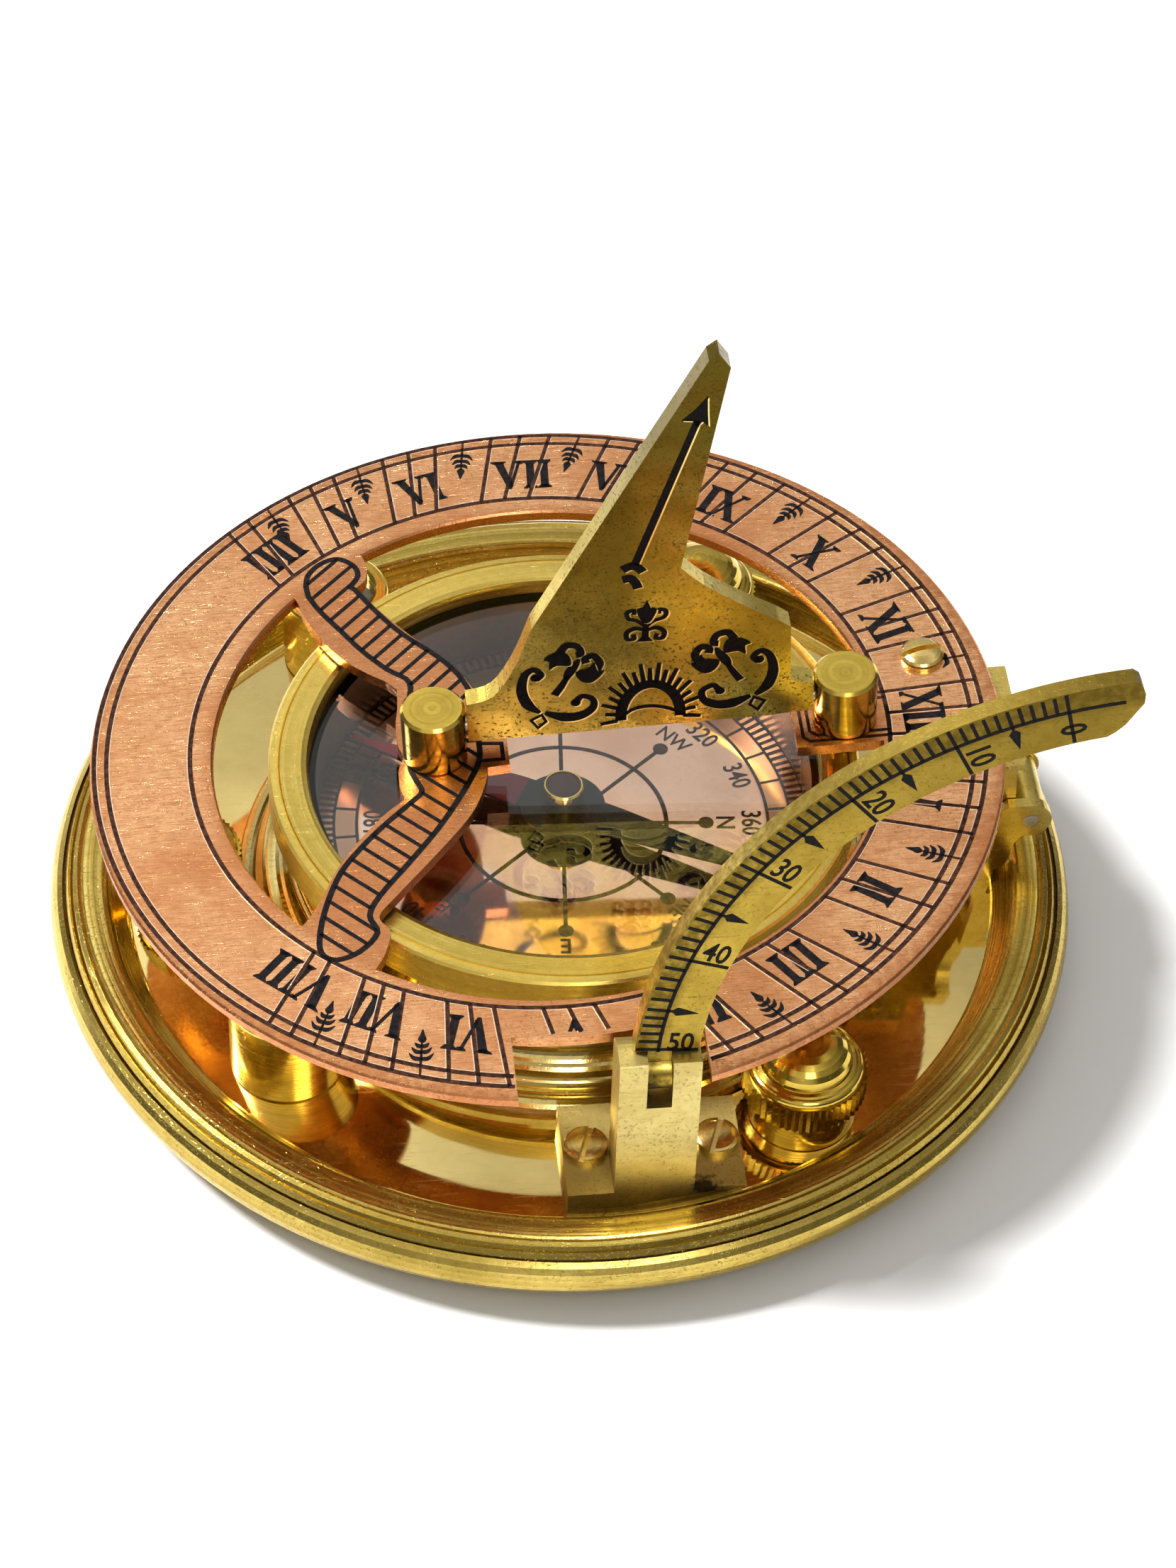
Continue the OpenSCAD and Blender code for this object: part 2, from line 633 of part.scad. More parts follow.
// Hinge leaf: a flange under the ring, a web that narrows downwards and the barrel
module hinge_leaf() {
    edge = 3;
    flange_in = leaf_screw_u - edge - 1;
    web_out = hinge_u - barrel_r + 0.5;
    half = 7.6;
    neck_r = 3.6;
    neck = -ring_t - leaf_t - neck_r - 1;
    root = barrel_len / 2;
    color(brass) on_ring() difference() {
        union() {
            translate([0, 0, -ring_t - leaf_t]) linear_extrude(leaf_t) polygon([
                [flange_in, -leaf_screw_v - edge], [leaf_screw_u + edge, -leaf_screw_v - edge],
                [leaf_screw_u + edge + 2, -half], [web_out, -half], [web_out, half],
                [leaf_screw_u + edge + 2, half], [leaf_screw_u + edge, leaf_screw_v + edge],
                [flange_in, leaf_screw_v + edge]]);
            translate([web_out, 0, 0]) rotate([0, -90, 0]) linear_extrude(leaf_t) polygon(concat(
                [[-ring_t - leaf_t / 2, -half], [-ring_t - leaf_t / 2, half]],
                arc_points([neck, root + neck_r], neck_r, 0, -90, 6),
                [[-hinge_drop, root], [-hinge_drop, -root]],
                arc_points([neck, -root - neck_r], neck_r, 90, 0, 6)));
            translate([hinge_u, root, -hinge_drop]) rotate([90, 0, 0])
                cylinder(r = barrel_r, h = barrel_len);
        }
        translate([hinge_u, root + 1, -hinge_drop]) rotate([90, 0, 0])
            cylinder(r = hinge_pin_r + running, h = barrel_len + 2);
        for (side = [-1, 1])
            translate([leaf_screw_u, side * leaf_screw_v, -ring_t - leaf_t - 1])
                cylinder(r = screw_shank_r + snug, h = leaf_t + 2);
    }
}

module leaf_screws() {
    color(brass) on_ring() for (side = [-1, 1])
        translate([leaf_screw_u, side * leaf_screw_v, 0])
            slotted_screw(screw_head_r, screw_head_h + 0.3, screw_shank_r, ring_t + leaf_t + 0.4, 10, 0.3);
}

// Outline of the wishbone that carries the foot post. It is scaled so that its first point,
// on a lobe, lies this far inside the body of the ring.
lobe_overlap = 1.65;
wishbone_right = [
    [-20.9, 36.6], [-19.8, 34.2], [-19.6, 32.4], [-20.0, 30.6], [-21.3, 29.1], [-20.4, 27.8],
    [-17.8, 24.0], [-14.9, 20.1], [-11.8, 16.3], [-9.6, 13.2], [-8.0, 9.8], [-7.4, 6.5],
    [-7.3, 1.6]];
wishbone_tab = [[-4.8, 1.3], [-4.8, -3.0]];
wishbone_right_low = [
    [-7.5, -3.2], [-7.9, -5.4], [-9.0, -8.5], [-10.4, -11.0], [-12.7, -14.0], [-16.0, -17.9],
    [-19.9, -22.4], [-22.2, -25.4], [-21.1, -27.6], [-21.4, -29.6], [-22.3, -32.0], [-24.0, -34.6]];
wishbone_left_low = [
    [-32.6, -27.4], [-30.3, -24.6], [-28.5, -21.4], [-26.8, -17.8], [-24.6, -14.4], [-22.4, -11.6],
    [-20.1, -9.1], [-17.8, -7.2]];
wishbone_left = [
    [-18.3, -5.0], [-18.2, -2.4], [-17.5, -0.3], [-18.0, 1.8], [-18.0, 5.2], [-17.6, 8.0],
    [-17.4, 11.2]];
wishbone_left_high = [
    [-18.7, 12.7], [-20.9, 14.4], [-23.1, 16.5], [-24.9, 18.9], [-26.4, 21.5], [-27.9, 25.0],
    [-28.6, 27.7], [-29.9, 30.6]];

module hour_ring() {
    chamfer = 0.25;
    grow = (ring_in_r + lobe_overlap) / norm(wishbone_right[0]);
    color(copper) on_ring() difference() {
        union() {
            rotate_extrude($fn = 160) polygon([
                [ring_in_r, -ring_t], [ring_r - chamfer, -ring_t], [ring_r, -ring_t + chamfer],
                [ring_r, -chamfer], [ring_r - chamfer, 0], [ring_in_r + chamfer, 0],
                [ring_in_r, -chamfer]]);
            translate([0, 0, -ring_t]) linear_extrude(ring_t) polygon(grow * concat(
                curve(wishbone_right), wishbone_tab, curve(wishbone_right_low),
                curve(wishbone_left_low), curve(wishbone_left), curve(wishbone_left_high)));
            translate([head_post_u - post_r - 2.4, -tab_w / 2, -ring_t])
                cube([ring_in_r + 1 - head_post_u + post_r + 2.4, tab_w, ring_t]);
        }
        difference() {
            translate([notch_from, -ring_r - 1, -ring_t - 1])
                cube([notch_to - notch_from, ring_w + 2, ring_t + 2]);
            translate([0, 0, -ring_t - 2]) cylinder(r = notch_r, h = ring_t + 4, $fn = 160);
        }
        for (u = [-foot_post_u, head_post_u])
            translate([u, 0, -ring_t - 1]) cylinder(r = stud_r + snug, h = ring_t + 2);
        for (side = [-1, 1])
            translate([leaf_screw_u, side * leaf_screw_v, -ring_t - 1])
                cylinder(r = screw_shank_r + snug, h = ring_t + 2);
    }
}

// A post with its stud: the gnomon's pin enters it from the side that faces the gnomon
module post(u, side, stud) {
    color(brass) on_ring() translate([u, 0, 0]) difference() {
        union() {
            turned(post_r, post_h, 0.35, 0.2);
            translate([0, 0, -ring_t - stud]) cylinder(r = stud_r, h = ring_t + stud + eps);
        }
        translate([0, 0, pivot_h]) rotate([0, side * 90, 0])
            cylinder(r = gnomon_pin_r + running, h = post_r + 1);
    }
}

module foot_post() {
    post(-foot_post_u, 1, nut_h);
}

// The stud of this post is the stop that stands on the bezel
module head_post() {
    under = ring_z + head_post_u * sin(ring_rise) - ring_t - floor_z - bezel_top;
    post(head_post_u, -1, under - gap);
}

module post_nuts() {
    color(brass) on_ring() for (u = [-foot_post_u, head_post_u])
        translate([u, 0, -ring_t - nut_h]) difference() {
            cylinder(r = nut_r, h = nut_h, $fn = 6);
            translate([0, 0, -1]) cylinder(r = stud_r + snug, h = nut_h + 2);
        }
}

// Gnomon: a tapering blade with a hollow back, a step and a toe, bevelled along its foot
module gnomon() {
    toe = -foot_post_u + post_r + gap / 2;
    heel = head_post_u - post_r - gap / 2;
    h = gnomon_h;
    tip = gnomon_tip_u;
    back = curve([[toe, 4.6], [toe + 3.2, 5.6], [toe + 5.9, 10.2], [toe + 8.1, 16.4]]);
    outline = concat(
        [[toe, -1.9], [toe + 1, -2.5], [heel - 12, -2.1], [heel, -1.4], [heel, 3.1],
         [heel - 2.8, 4.1], [heel - 2.9, 13.1]],
        curve([[heel - 4.4, 14.4], [heel - 8.6, 17.4], [heel - 13.2, 21.2], [heel - 16, 24.4]]),
        [[tip + 1.6, h - 2.2], [tip + 0.3, h], [tip - 0.9, h - 0.9]],
        [for (i = [len(back) - 1 : -1 : 0]) back[i]]);
    color(brass) on_ring() translate([0, 0, pivot_h]) difference() {
        rotate([90, 0, 0]) linear_extrude(gnomon_t, center = true) polygon(outline);
        for (side = [-1, 1])
            translate([toe - 1, side * (gnomon_t / 2 + 0.45), -2.7]) rotate([side * 25, 0, 0])
                cube([heel - toe + 2, 1, 2.6], center = false);
        translate([toe - 1, 0, 0]) rotate([0, 90, 0]) cylinder(r = gnomon_pin_r + snug, h = 4.5);
        translate([heel + 1, 0, 0]) rotate([0, -90, 0]) cylinder(r = gnomon_pin_r + snug, h = 4.5);
    }
}

module gnomon_pins() {
    reach = 2.2;
    color("silver") on_ring() for (end = [-foot_post_u + post_r, head_post_u - post_r])
        translate([end - (end < 0 ? reach : 3), 0, pivot_h]) rotate([0, 90, 0])
            cylinder(r = gnomon_pin_r, h = reach + 3);
}

base_dish();
compass_case();
case_screws();
compass_card();
needle_pivot();
compass_needle();
needle_cap();
cap_jewel();
glass_seat_ring();
compass_glass();
compass_bezel();
knob_bush(0);  // knob_bush_1
knob_bush(1);  // knob_bush_2
knob_bush(2);  // knob_bush_3
levelling_stem(0);  // levelling_stem_1
levelling_stem(1);  // levelling_stem_2
levelling_stem(2);  // levelling_stem_3
levelling_knob(0);  // levelling_knob_1
levelling_knob(1);  // levelling_knob_2
levelling_knob(2);  // levelling_knob_3
level_cup(front_level_at);  // front_level_cup
level_vial(front_level_at);  // front_level_vial
level_cap(front_level_at);  // front_level_cap
level_cup(rear_level_at);  // rear_level_cup
level_vial(rear_level_at);  // rear_level_vial
level_cap(rear_level_at);  // rear_level_cap
arc_bracket();
bracket_screws();
arc_pin();
latitude_arc();
hinge_bracket();
hinge_bracket_screws();
hinge_pin();
hinge_leaf();
leaf_screws();
hour_ring();
foot_post();
head_post();
post_nuts();
gnomon();
gnomon_pins();
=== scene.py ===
"""Looks of the sundial compass: metals, etched scales, card, glass, light and camera.

Lengths are millimetres until they reach Blender, which works in metres. The places of the ring,
the arc and the gnomon repeat the ones of the solid model.
"""
import math
import bpy
from mathutils import Matrix, Vector


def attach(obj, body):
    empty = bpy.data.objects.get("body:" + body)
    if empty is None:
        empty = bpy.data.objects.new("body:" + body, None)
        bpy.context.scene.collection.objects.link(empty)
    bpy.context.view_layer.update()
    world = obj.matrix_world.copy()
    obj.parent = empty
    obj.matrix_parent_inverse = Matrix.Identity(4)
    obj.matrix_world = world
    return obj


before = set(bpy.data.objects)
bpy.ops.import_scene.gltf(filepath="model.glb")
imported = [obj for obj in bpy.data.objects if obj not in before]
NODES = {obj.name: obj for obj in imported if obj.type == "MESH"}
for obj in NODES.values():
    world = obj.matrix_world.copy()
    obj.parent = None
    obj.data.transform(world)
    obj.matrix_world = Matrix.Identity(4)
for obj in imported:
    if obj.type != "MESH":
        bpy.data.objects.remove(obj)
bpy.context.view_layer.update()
MM = 0.001

# ---------------------------------------------------------------- frames of the moving parts
RISE = math.radians(2.55)                        # slope of the hour ring at rest
LEAN = math.radians(3)                           # lean of the latitude arc at rest
RING_BACK, RING_Z = 2.17, 30.6                   # middle of the ring's upper face
PIVOT_H, GNOMON_T = 4.5, 2.5                     # the gnomon's pivots over the ring, its thickness
ARC_PIN_Y, ARC_PIN_Z, ARC_T = -50.9, 29.8, 2.2   # the arc's pin, and the arc's thickness
CARD_Z = 15.9
NEEDLE_Z, NEEDLE_AZ = 18.3, math.radians(151.5)

# sizes that the wear and the marks follow
RING_IN, RING_OUT = 40.5, 55.3                   # radii of the hour ring
ARC_CENTRE, ARC_DIVIDER = (60, -0.6), 54.9       # in the arc's plane, from its pin
FLOOR_R = 54                                     # the polished floor of the dish
SCREW_CIRCLE_R, SCREW_ANGLES = 47, (-58, 62, 180)
LEVELS = {"front": (-35.7, -27), "rear": (-25.3, 41)}
POSTS, POST_TOP = {"foot_post": -13.6, "head_post": 36.3}, 7.8   # along the ring, and over it


def shift(x, y, z):
    return Matrix.Translation((x * MM, y * MM, z * MM))


def turn(degrees, axis):
    return Matrix.Rotation(math.radians(degrees), 4, axis)


RING = shift(-RING_BACK, 0, RING_Z) @ Matrix.Rotation(-RISE, 4, "Y")
ARC = shift(0, ARC_PIN_Y, ARC_PIN_Z) @ Matrix.Rotation(-LEAN, 4, "X")
ARC_FRONT = ARC @ shift(0, -ARC_T / 2, 0) @ turn(90, "X")
GNOMON_FRONT = RING @ shift(0, -GNOMON_T / 2, PIVOT_H) @ turn(90, "X")
GNOMON_BACK = RING @ shift(0, GNOMON_T / 2, PIVOT_H) @ turn(180, "Z") @ turn(90, "X")


def place_object(name, data, matrix):
    """Puts a new object into the scene."""
    made = bpy.data.objects.new(name, data)
    bpy.context.scene.collection.objects.link(made)
    made.matrix_world = matrix
    return made


def place_mesh(name, points, faces, material, matrix):
    """Makes a mesh from points in metres and puts it into the scene."""
    mesh = bpy.data.meshes.new(name)
    mesh.from_pydata(points, [], faces)
    mesh.materials.append(material)
    return place_object(name, mesh, matrix)


def darker(colour, share):
    return tuple(c * share for c in colour)


# ---------------------------------------------------------------- shader building
class Shader:
    """A material with one Principled shader, and short ways to add nodes to it."""

    def __init__(self, name, colour, metallic, roughness, **sockets):
        self.material = bpy.data.materials.new(name)
        self.material.use_nodes = True
        self.tree = self.material.node_tree
        self.bsdf = self.tree.nodes["Principled BSDF"]
        self.bsdf.inputs["Base Color"].default_value = (*colour, 1)
        self.bsdf.inputs["Metallic"].default_value = metallic
        self.bsdf.inputs["Roughness"].default_value = roughness
        for key, value in sockets.items():
            self.bsdf.inputs[key.replace("_", " ")].default_value = value
        self.place = self.node("ShaderNodeTexCoord").outputs["Object"]

    def node(self, kind, inputs=None, **settings):
        made = self.tree.nodes.new(kind)
        for key, value in settings.items():
            setattr(made, key, value)
        for key, value in (inputs or {}).items():
            self.put(made.inputs[key], value)
        return made

    def put(self, socket, value):
        if isinstance(value, bpy.types.NodeSocket):
            self.tree.links.new(value, socket)
        else:
            socket.default_value = value

    def set(self, name, value):
        self.put(self.bsdf.inputs[name], value)

    def math(self, operation, a, b=0.0, c=0.0):
        return self.node("ShaderNodeMath", {0: a, 1: b, 2: c}, operation=operation).outputs[0]

    def vector(self, operation, a, b=(0, 0, 0), output="Vector"):
        made = self.node("ShaderNodeVectorMath", {0: a, 1: b}, operation=operation)
        return made.outputs[output]

    def map(self, value, low, high, to_low=0.0, to_high=1.0):
        limits = {0: value, 1: low, 2: high, 3: to_low, 4: to_high}
        return self.node("ShaderNodeMapRange", limits).outputs[0]

    def split(self, vector):
        return self.node("ShaderNodeSeparateXYZ", {0: vector}).outputs

    def radius(self, a, b):
        """Distance from an axis, from the two coordinates across it."""
        return self.math("SQRT", self.math("MULTIPLY_ADD", a, a, self.math("MULTIPLY", b, b)))

    def noise(self, place, detail=3.0, roughness=0.55):
        settings = {"Vector": place, "Scale": 1.0, "Detail": detail, "Roughness": roughness}
        return self.node("ShaderNodeTexNoise", settings).outputs["Fac"]

    def grain(self, fineness, detail=3.0, roughness=0.55, turn_z=0.0, offset=(0, 0, 0)):
        """Noise over the object; fineness is waves to the millimetre, one number or x, y, z."""
        if not isinstance(fineness, tuple):
            fineness = (fineness, fineness, fineness)
        stretched = self.node("ShaderNodeMapping", {
            "Vector": self.place, "Location": offset, "Rotation": (0, 0, turn_z),
            "Scale": [f / MM for f in fineness]})
        return self.noise(stretched.outputs[0], detail, roughness)

    def lathe(self, centre, pitch, depth=0.35):
        """Fine turning lines round a vertical axis, as a value from 0 to 1."""
        cone = 0.83                              # how fast the lines climb along a wall
        x, y, z = self.split(self.vector("SUBTRACT", self.place,
                                         (centre[0] * MM, centre[1] * MM, 0)))
        along = self.math("MULTIPLY_ADD", z, cone, self.radius(x, y))
        steps = self.math("MULTIPLY", along, 1 / (pitch * MM))
        line = self.node("ShaderNodeCombineXYZ", {0: steps})
        return self.noise(line.outputs[0], 4.0, depth)

    def blend(self, amount, a, b, mode="MIX"):
        made = self.node("ShaderNodeMix", data_type="RGBA", blend_type=mode)
        self.put(made.inputs[0], amount)
        for index, value in ((6, a), (7, b)):
            self.put(made.inputs[index], (*value, 1) if isinstance(value, tuple) else value)
        return made.outputs[2]

    def bump(self, height, strength, distance, normal=None):
        made = self.node("ShaderNodeBump", {"Height": height, "Strength": strength,
                                            "Distance": distance * MM})
        if normal is not None:
            self.put(made.inputs["Normal"], normal)
        return made.outputs[0]


BRASS = (0.84, 0.63, 0.15)
BRASS_DULL = (0.36, 0.25, 0.035)
COPPER = (0.95, 0.555, 0.30)
COPPER_DULL = (0.47, 0.185, 0.07)
# black for the painted shade in the gaps round joints
GAP_SHADE = (0.03, 0.02, 0.012)
MIRROR_TINT = (0.86, 0.68, 0.29)     # the polished floor of the dish
MIRROR_ROUGH = 0.055
MIRROR_RELIEF = 0.03                 # share of the relief that is left on it
DOME_TILT = 0.125                    # how far its normal leans outwards


class Metal(Shader):
    """A worn metal. Each kind of wear, and each painted shade, is laid over the tint, height and
    roughness so far.

    A noise lies mostly between 0.3 and 0.7. Its map gives where the wear begins to show, where
    it is full, and then how strong it is there. Amounts run from 0 to 1.
    """

    def __init__(self, name, colour, dull, rough, patina, anisotropy):
        super().__init__(name, colour, 1.0, rough, Anisotropic=anisotropy)
        self.dull = dull
        self.broad = self.grain(0.055, 5.0, 0.62, 0.4)
        self.mottle = self.grain(0.9, 4.0, 0.6)
        self.tint = self.blend(self.math("MULTIPLY", self.map(self.broad, 0.42, 0.68), patina),
                               colour, dull)
        self.cover(self.map(self.mottle, 0.35, 0.75, 0.0, 0.35 * patina + 0.1), dull)
        self.height = self.mottle
        self.rough = self.map(self.broad, 0.3, 0.7, rough * 0.8, rough * 1.35)
        self.outward = None

    def cover(self, amount, colour):
        self.tint = self.blend(amount, self.tint, colour)

    def lift(self, value, amount):
        self.height = self.math("MULTIPLY_ADD", value, amount, self.height)

    def roughen(self, value, amount):
        self.rough = self.math("MULTIPLY_ADD", value, amount, self.rough)

    def ragged(self, distance, spread):
        """A distance that the mottling makes uneven by up to half the spread."""
        uneven = self.math("SUBTRACT", self.mottle, 0.5)
        return self.math("MULTIPLY_ADD", uneven, spread * MM, distance)

    def turning(self, centre, pitch, lines):
        """Fine turning lines, and broader bands of them."""
        ring = self.lathe(centre, pitch)
        bands = self.lathe(centre, pitch * 4.5, 0.5)
        self.cover(self.map(ring, 0.42, 0.62, 0.0, lines), self.dull)
        self.cover(self.map(bands, 0.45, 0.65, 0.0, lines), self.dull)
        self.height = self.math("MULTIPLY_ADD", ring, 1.0,
                                self.math("MULTIPLY", self.mottle, 0.12))
        self.lift(bands, 1.2)
        self.rough = self.math("ADD", self.rough, self.map(ring, 0.4, 0.65, -0.05, 0.08))

    def hatching(self, amount):
        """Rubbing marks in two directions that cross."""
        strokes = [self.grain((0.28, 6.0, 6.0), 3.0, 0.65, angle) for angle in (0.75, -0.7)]
        weave = self.math("MAXIMUM", *strokes)
        self.cover(self.map(weave, 0.5, 0.72, 0.0, amount), self.dull)
        self.lift(weave, 1.3 * amount)

    def brushing(self, amount, angle):
        strokes = self.grain((0.35, 9.0, 9.0), 3.0, 0.6, angle)
        self.lift(strokes, amount)
        self.cover(self.map(strokes, 0.45, 0.7, 0.0, 0.3 * amount), self.dull)

    def scratches(self):
        """A few long, thin scratches in three directions."""
        scratch = None
        for angle, offset in ((0.5, 3.1), (1.35, 7.7), (-0.6, 13.3)):
            streaks = self.grain((0.16, 7.0, 7.0), 1.0, 0.5, angle, (offset, offset, offset))
            mark = self.map(streaks, 0.715, 0.74)
            scratch = mark if scratch is None else self.math("MAXIMUM", scratch, mark)
        self.cover(self.math("MULTIPLY", scratch, 0.3), self.dull)
        self.lift(scratch, -0.5)

    def smudge(self, cx, cz, inner, amount):
        """Ingrained dirt outside a radius round an axis along Y."""
        x, _, z = self.split(self.vector("SUBTRACT", self.place, (cx * MM, 0, cz * MM)))
        edge = self.map(self.radius(x, z), (inner - 1.2) * MM, (inner + 0.4) * MM)
        patchy = self.map(self.mottle, 0.3, 0.62, 0.35 * amount, amount)
        dirt = self.math("MULTIPLY", edge, patchy)
        self.cover(dirt, darker(self.dull, 0.3))
        self.roughen(dirt, 0.2)

    def fade(self, low, high, amount):
        """Painted shade: the colour darkens with height, towards the top."""
        z = self.split(self.place)[2]
        self.cover(self.map(z, low * MM, high * MM, 0.0, amount), darker(self.dull, 0.4))

    def rims(self, cx, inner, outer):
        """An older, darker border along a round plate's inner and outer edge."""
        x, y, _ = self.split(self.vector("SUBTRACT", self.place, (cx * MM, 0, 0)))
        uneven = self.ragged(self.radius(x, y), 3.5)
        out = self.map(uneven, (outer - 2.2) * MM, outer * MM, 0.0, 0.75)
        into = self.map(uneven, inner * MM, (inner + 1.6) * MM, 0.6, 0.0)
        self.cover(self.math("MAXIMUM", out, into), self.dull)

    def flats(self, share):
        """Painted shade: the broad faces across Y are drawn darker than the rest."""
        across = self.split(self.node("ShaderNodeTexCoord").outputs["Normal"])[1]
        side = self.map(self.math("ABSOLUTE", across), 0.75, 0.9)
        self.cover(side, self.blend(1.0, self.tint, share, "MULTIPLY"))

    def stain(self, x, y, z, reach):
        """Painted shade: a black patch round a joint, for the shadow in its gap, with a ragged
        edge.
        """
        away = self.vector("DISTANCE", self.place, (x * MM, y * MM, z * MM), "Value")
        spot = self.map(self.ragged(away, 2.6 * reach),
                        0.45 * reach * MM, 1.05 * reach * MM, 0.9, 0.0)
        self.cover(spot, GAP_SHADE)
        self.roughen(spot, 0.3)

    def specks(self, amount, colour):
        """Small pits with dirt in them, in patches."""
        dots = self.map(self.grain(2.6, 2.0, 0.5), 0.58, 0.66, 0.0, amount)
        patches = self.map(self.grain(0.16, 2.0, 0.5, 0.9), 0.35, 0.6, 0.25, 1.0)
        spot = self.math("MULTIPLY", dots, patches)
        self.cover(spot, colour)
        self.roughen(spot, 0.2)
        self.lift(spot, -0.8)

    def mirror(self, reach):
        """Inside this radius, a slightly domed mirror with hardly any lines."""
        x, y, _ = self.split(self.place)
        rim = self.map(self.radius(x, y), (reach - 0.3) * MM, (reach + 0.1) * MM)
        haze = self.blend(self.map(self.broad, 0.45, 0.7, 0.0, 0.25), MIRROR_TINT, self.dull)
        self.tint = self.blend(rim, haze, self.tint)
        over = self.math("SUBTRACT", self.rough, MIRROR_ROUGH)
        self.rough = self.math("MULTIPLY_ADD", over, rim, MIRROR_ROUGH)
        left = self.math("MULTIPLY_ADD", rim, 1 - MIRROR_RELIEF, MIRROR_RELIEF)
        self.height = self.math("MULTIPLY", self.height, left)
        flat = self.node("ShaderNodeCombineXYZ", {0: x, 1: y}).outputs[0]
        lean = {0: self.vector("NORMALIZE", flat), "Scale": self.map(rim, 0, 1, DOME_TILT, 0.0)}
        tilted = self.node("ShaderNodeVectorMath", lean, operation="SCALE")
        self.outward = tilted.outputs["Vector"]

    def done(self, waves, relief):
        if waves:
            swell = self.bump(self.grain(0.11, 1.0, 0.4), waves, 0.6)
            normal = self.bump(self.height, 0.35, 0.03, swell)
        else:
            normal = self.bump(self.height, relief, 0.035)
        if self.outward is not None:
            normal = self.vector("NORMALIZE", self.vector("ADD", normal, self.outward))
        self.set("Base Color", self.tint)
        self.set("Roughness", self.rough)
        self.set("Normal", normal)
        return self.material


def metal(name, colour, dull, rough, patina=0.5, turned=None, pitch=0.5, lines=0.35,
          hatch=0.0, brushed=0.0, brush_turn=0.0, smudge=None, fade=None, rims=None, flats=None,
          joint_shades=(), specks=0.0, grime=None, floor=None, waves=0.0, relief=0.5, anisotropy=0.0):
    """A worn metal: patches of tarnish and fine scratches, with the other wear and painted shade
    asked for.
    """
    s = Metal(name, colour, dull, rough, patina, anisotropy)
    if turned is not None:
        s.turning(turned, pitch, lines)
    if hatch:
        s.hatching(hatch)
    if brushed:
        s.brushing(brushed, brush_turn)
    s.scratches()
    if smudge is not None:
        s.smudge(*smudge)
    if fade is not None:
        s.fade(*fade)
    if rims is not None:
        s.rims(*rims)
    if flats is not None:
        s.flats(flats)
    for stain in joint_shades:
        s.stain(*stain)
    if specks:
        s.specks(specks, grime or darker(dull, 0.25))
    if floor is not None:
        s.mirror(floor)
    return s.done(waves, relief)


MIDDLE = (0, 0)
turned_brass = metal("turned_brass", (0.90, 0.71, 0.23), (0.26, 0.17, 0.02), 0.22, 0.45,
                     MIDDLE, 0.55, specks=0.25, lines=0.6, anisotropy=0.35, floor=FLOOR_R,
                     relief=1.5)
bezel_brass = metal("bezel_brass", (0.86, 0.66, 0.20), BRASS_DULL, 0.28, 0.45,
                    MIDDLE, 0.5, specks=0.2, lines=0.4, anisotropy=0.3)
bowl_brass = metal("bowl_brass", (0.92, 0.76, 0.34), BRASS_DULL, 0.12, 0.3,
                   MIDDLE, 0.7, specks=0.2, lines=0.25)
polished = metal("polished_brass", (0.88, 0.66, 0.18), BRASS_DULL, 0.13, 0.35, waves=0.25)
brushed = metal("brushed_brass", (0.74, 0.58, 0.19), BRASS_DULL, 0.27, 0.8,
                brushed=0.5, specks=0.35)
# the arc's darkening towards its top, its darker broad faces and its black patches at the foot are
# painted shade
arc_brass = metal("arc_brass", (0.82, 0.62, 0.17), (0.40, 0.28, 0.05), 0.25, 0.8,
                  brushed=0.4, brush_turn=0.4, specks=0.4,
                  smudge=(ARC_CENTRE[0], ARC_PIN_Z + ARC_CENTRE[1], ARC_DIVIDER, 0.75),
                  fade=(56, 86, 0.7), flats=(0.56, 0.53, 0.38),
                  joint_shades=((4.5, -52.0, 28.0, 3.2), (1.0, -51.5, 25.0, 2.4)))
# the bracket's black patches round its screws and at the arc's foot are painted shade
matte = metal("bracket_brass", (0.66, 0.55, 0.23), (0.38, 0.28, 0.08), 0.40, 0.6,
              brushed=0.4, brush_turn=0.2, specks=0.35,
              joint_shades=((11.4, -53.6, 10.7, 1.9), (-9.2, -51.5, 11.2, 1.6),
                      (3.5, -51.5, 27.0, 1.5)))
# the gnomon's darkening towards its top and its darker broad faces are painted shade, over real
# tarnish and pits
worn_and_shaded = metal("aged_brass", (0.86, 0.68, 0.20), (0.42, 0.31, 0.06), 0.25, 0.8, specks=0.85,
             waves=1.0, fade=(48, 80, 1.0), flats=(0.62, 0.63, 0.52))
screw_brass = metal("screw_brass", (0.84, 0.64, 0.26), BRASS_DULL, 0.20, 0.5, brushed=0.5)
copper = metal("copper", COPPER, COPPER_DULL, 0.25, 0.75, specks=0.45, hatch=0.8,
               grime=(0.20, 0.07, 0.03), rims=(-RING_BACK, RING_IN, RING_OUT))
steel = metal("steel", (0.62, 0.61, 0.58), (0.3, 0.29, 0.27), 0.25, 0.4)
seat_metal = metal("seat_grey", (0.42, 0.31, 0.22), (0.26, 0.17, 0.11), 0.30, 0.5, brushed=0.2)
# painted highlight: pale copper for a thin strip along one side of each line on the ring
line_highlight = metal("line_highlight_copper", (1.0, 0.78, 0.60), (0.80, 0.45, 0.25), 0.22, 0.4)
# painted highlight: pale brass for a thin strip along one side of each cut in the gnomon
pale_highlight = metal("pale_highlight", (0.95, 0.80, 0.38), (0.6, 0.42, 0.12), 0.3, 0.4)
bead_brass = metal("bead_brass", (0.85, 0.70, 0.40), (0.4, 0.28, 0.1), 0.22, 0.5)


def lathe_brass(name, centre, pitch=0.4, rough=0.2, relief=0.35, colour=BRASS):
    """Brass turned round its own axis."""
    return metal(name, colour, BRASS_DULL, rough, 0.35, centre, pitch, lines=0.4,
                 anisotropy=0.3, relief=relief)


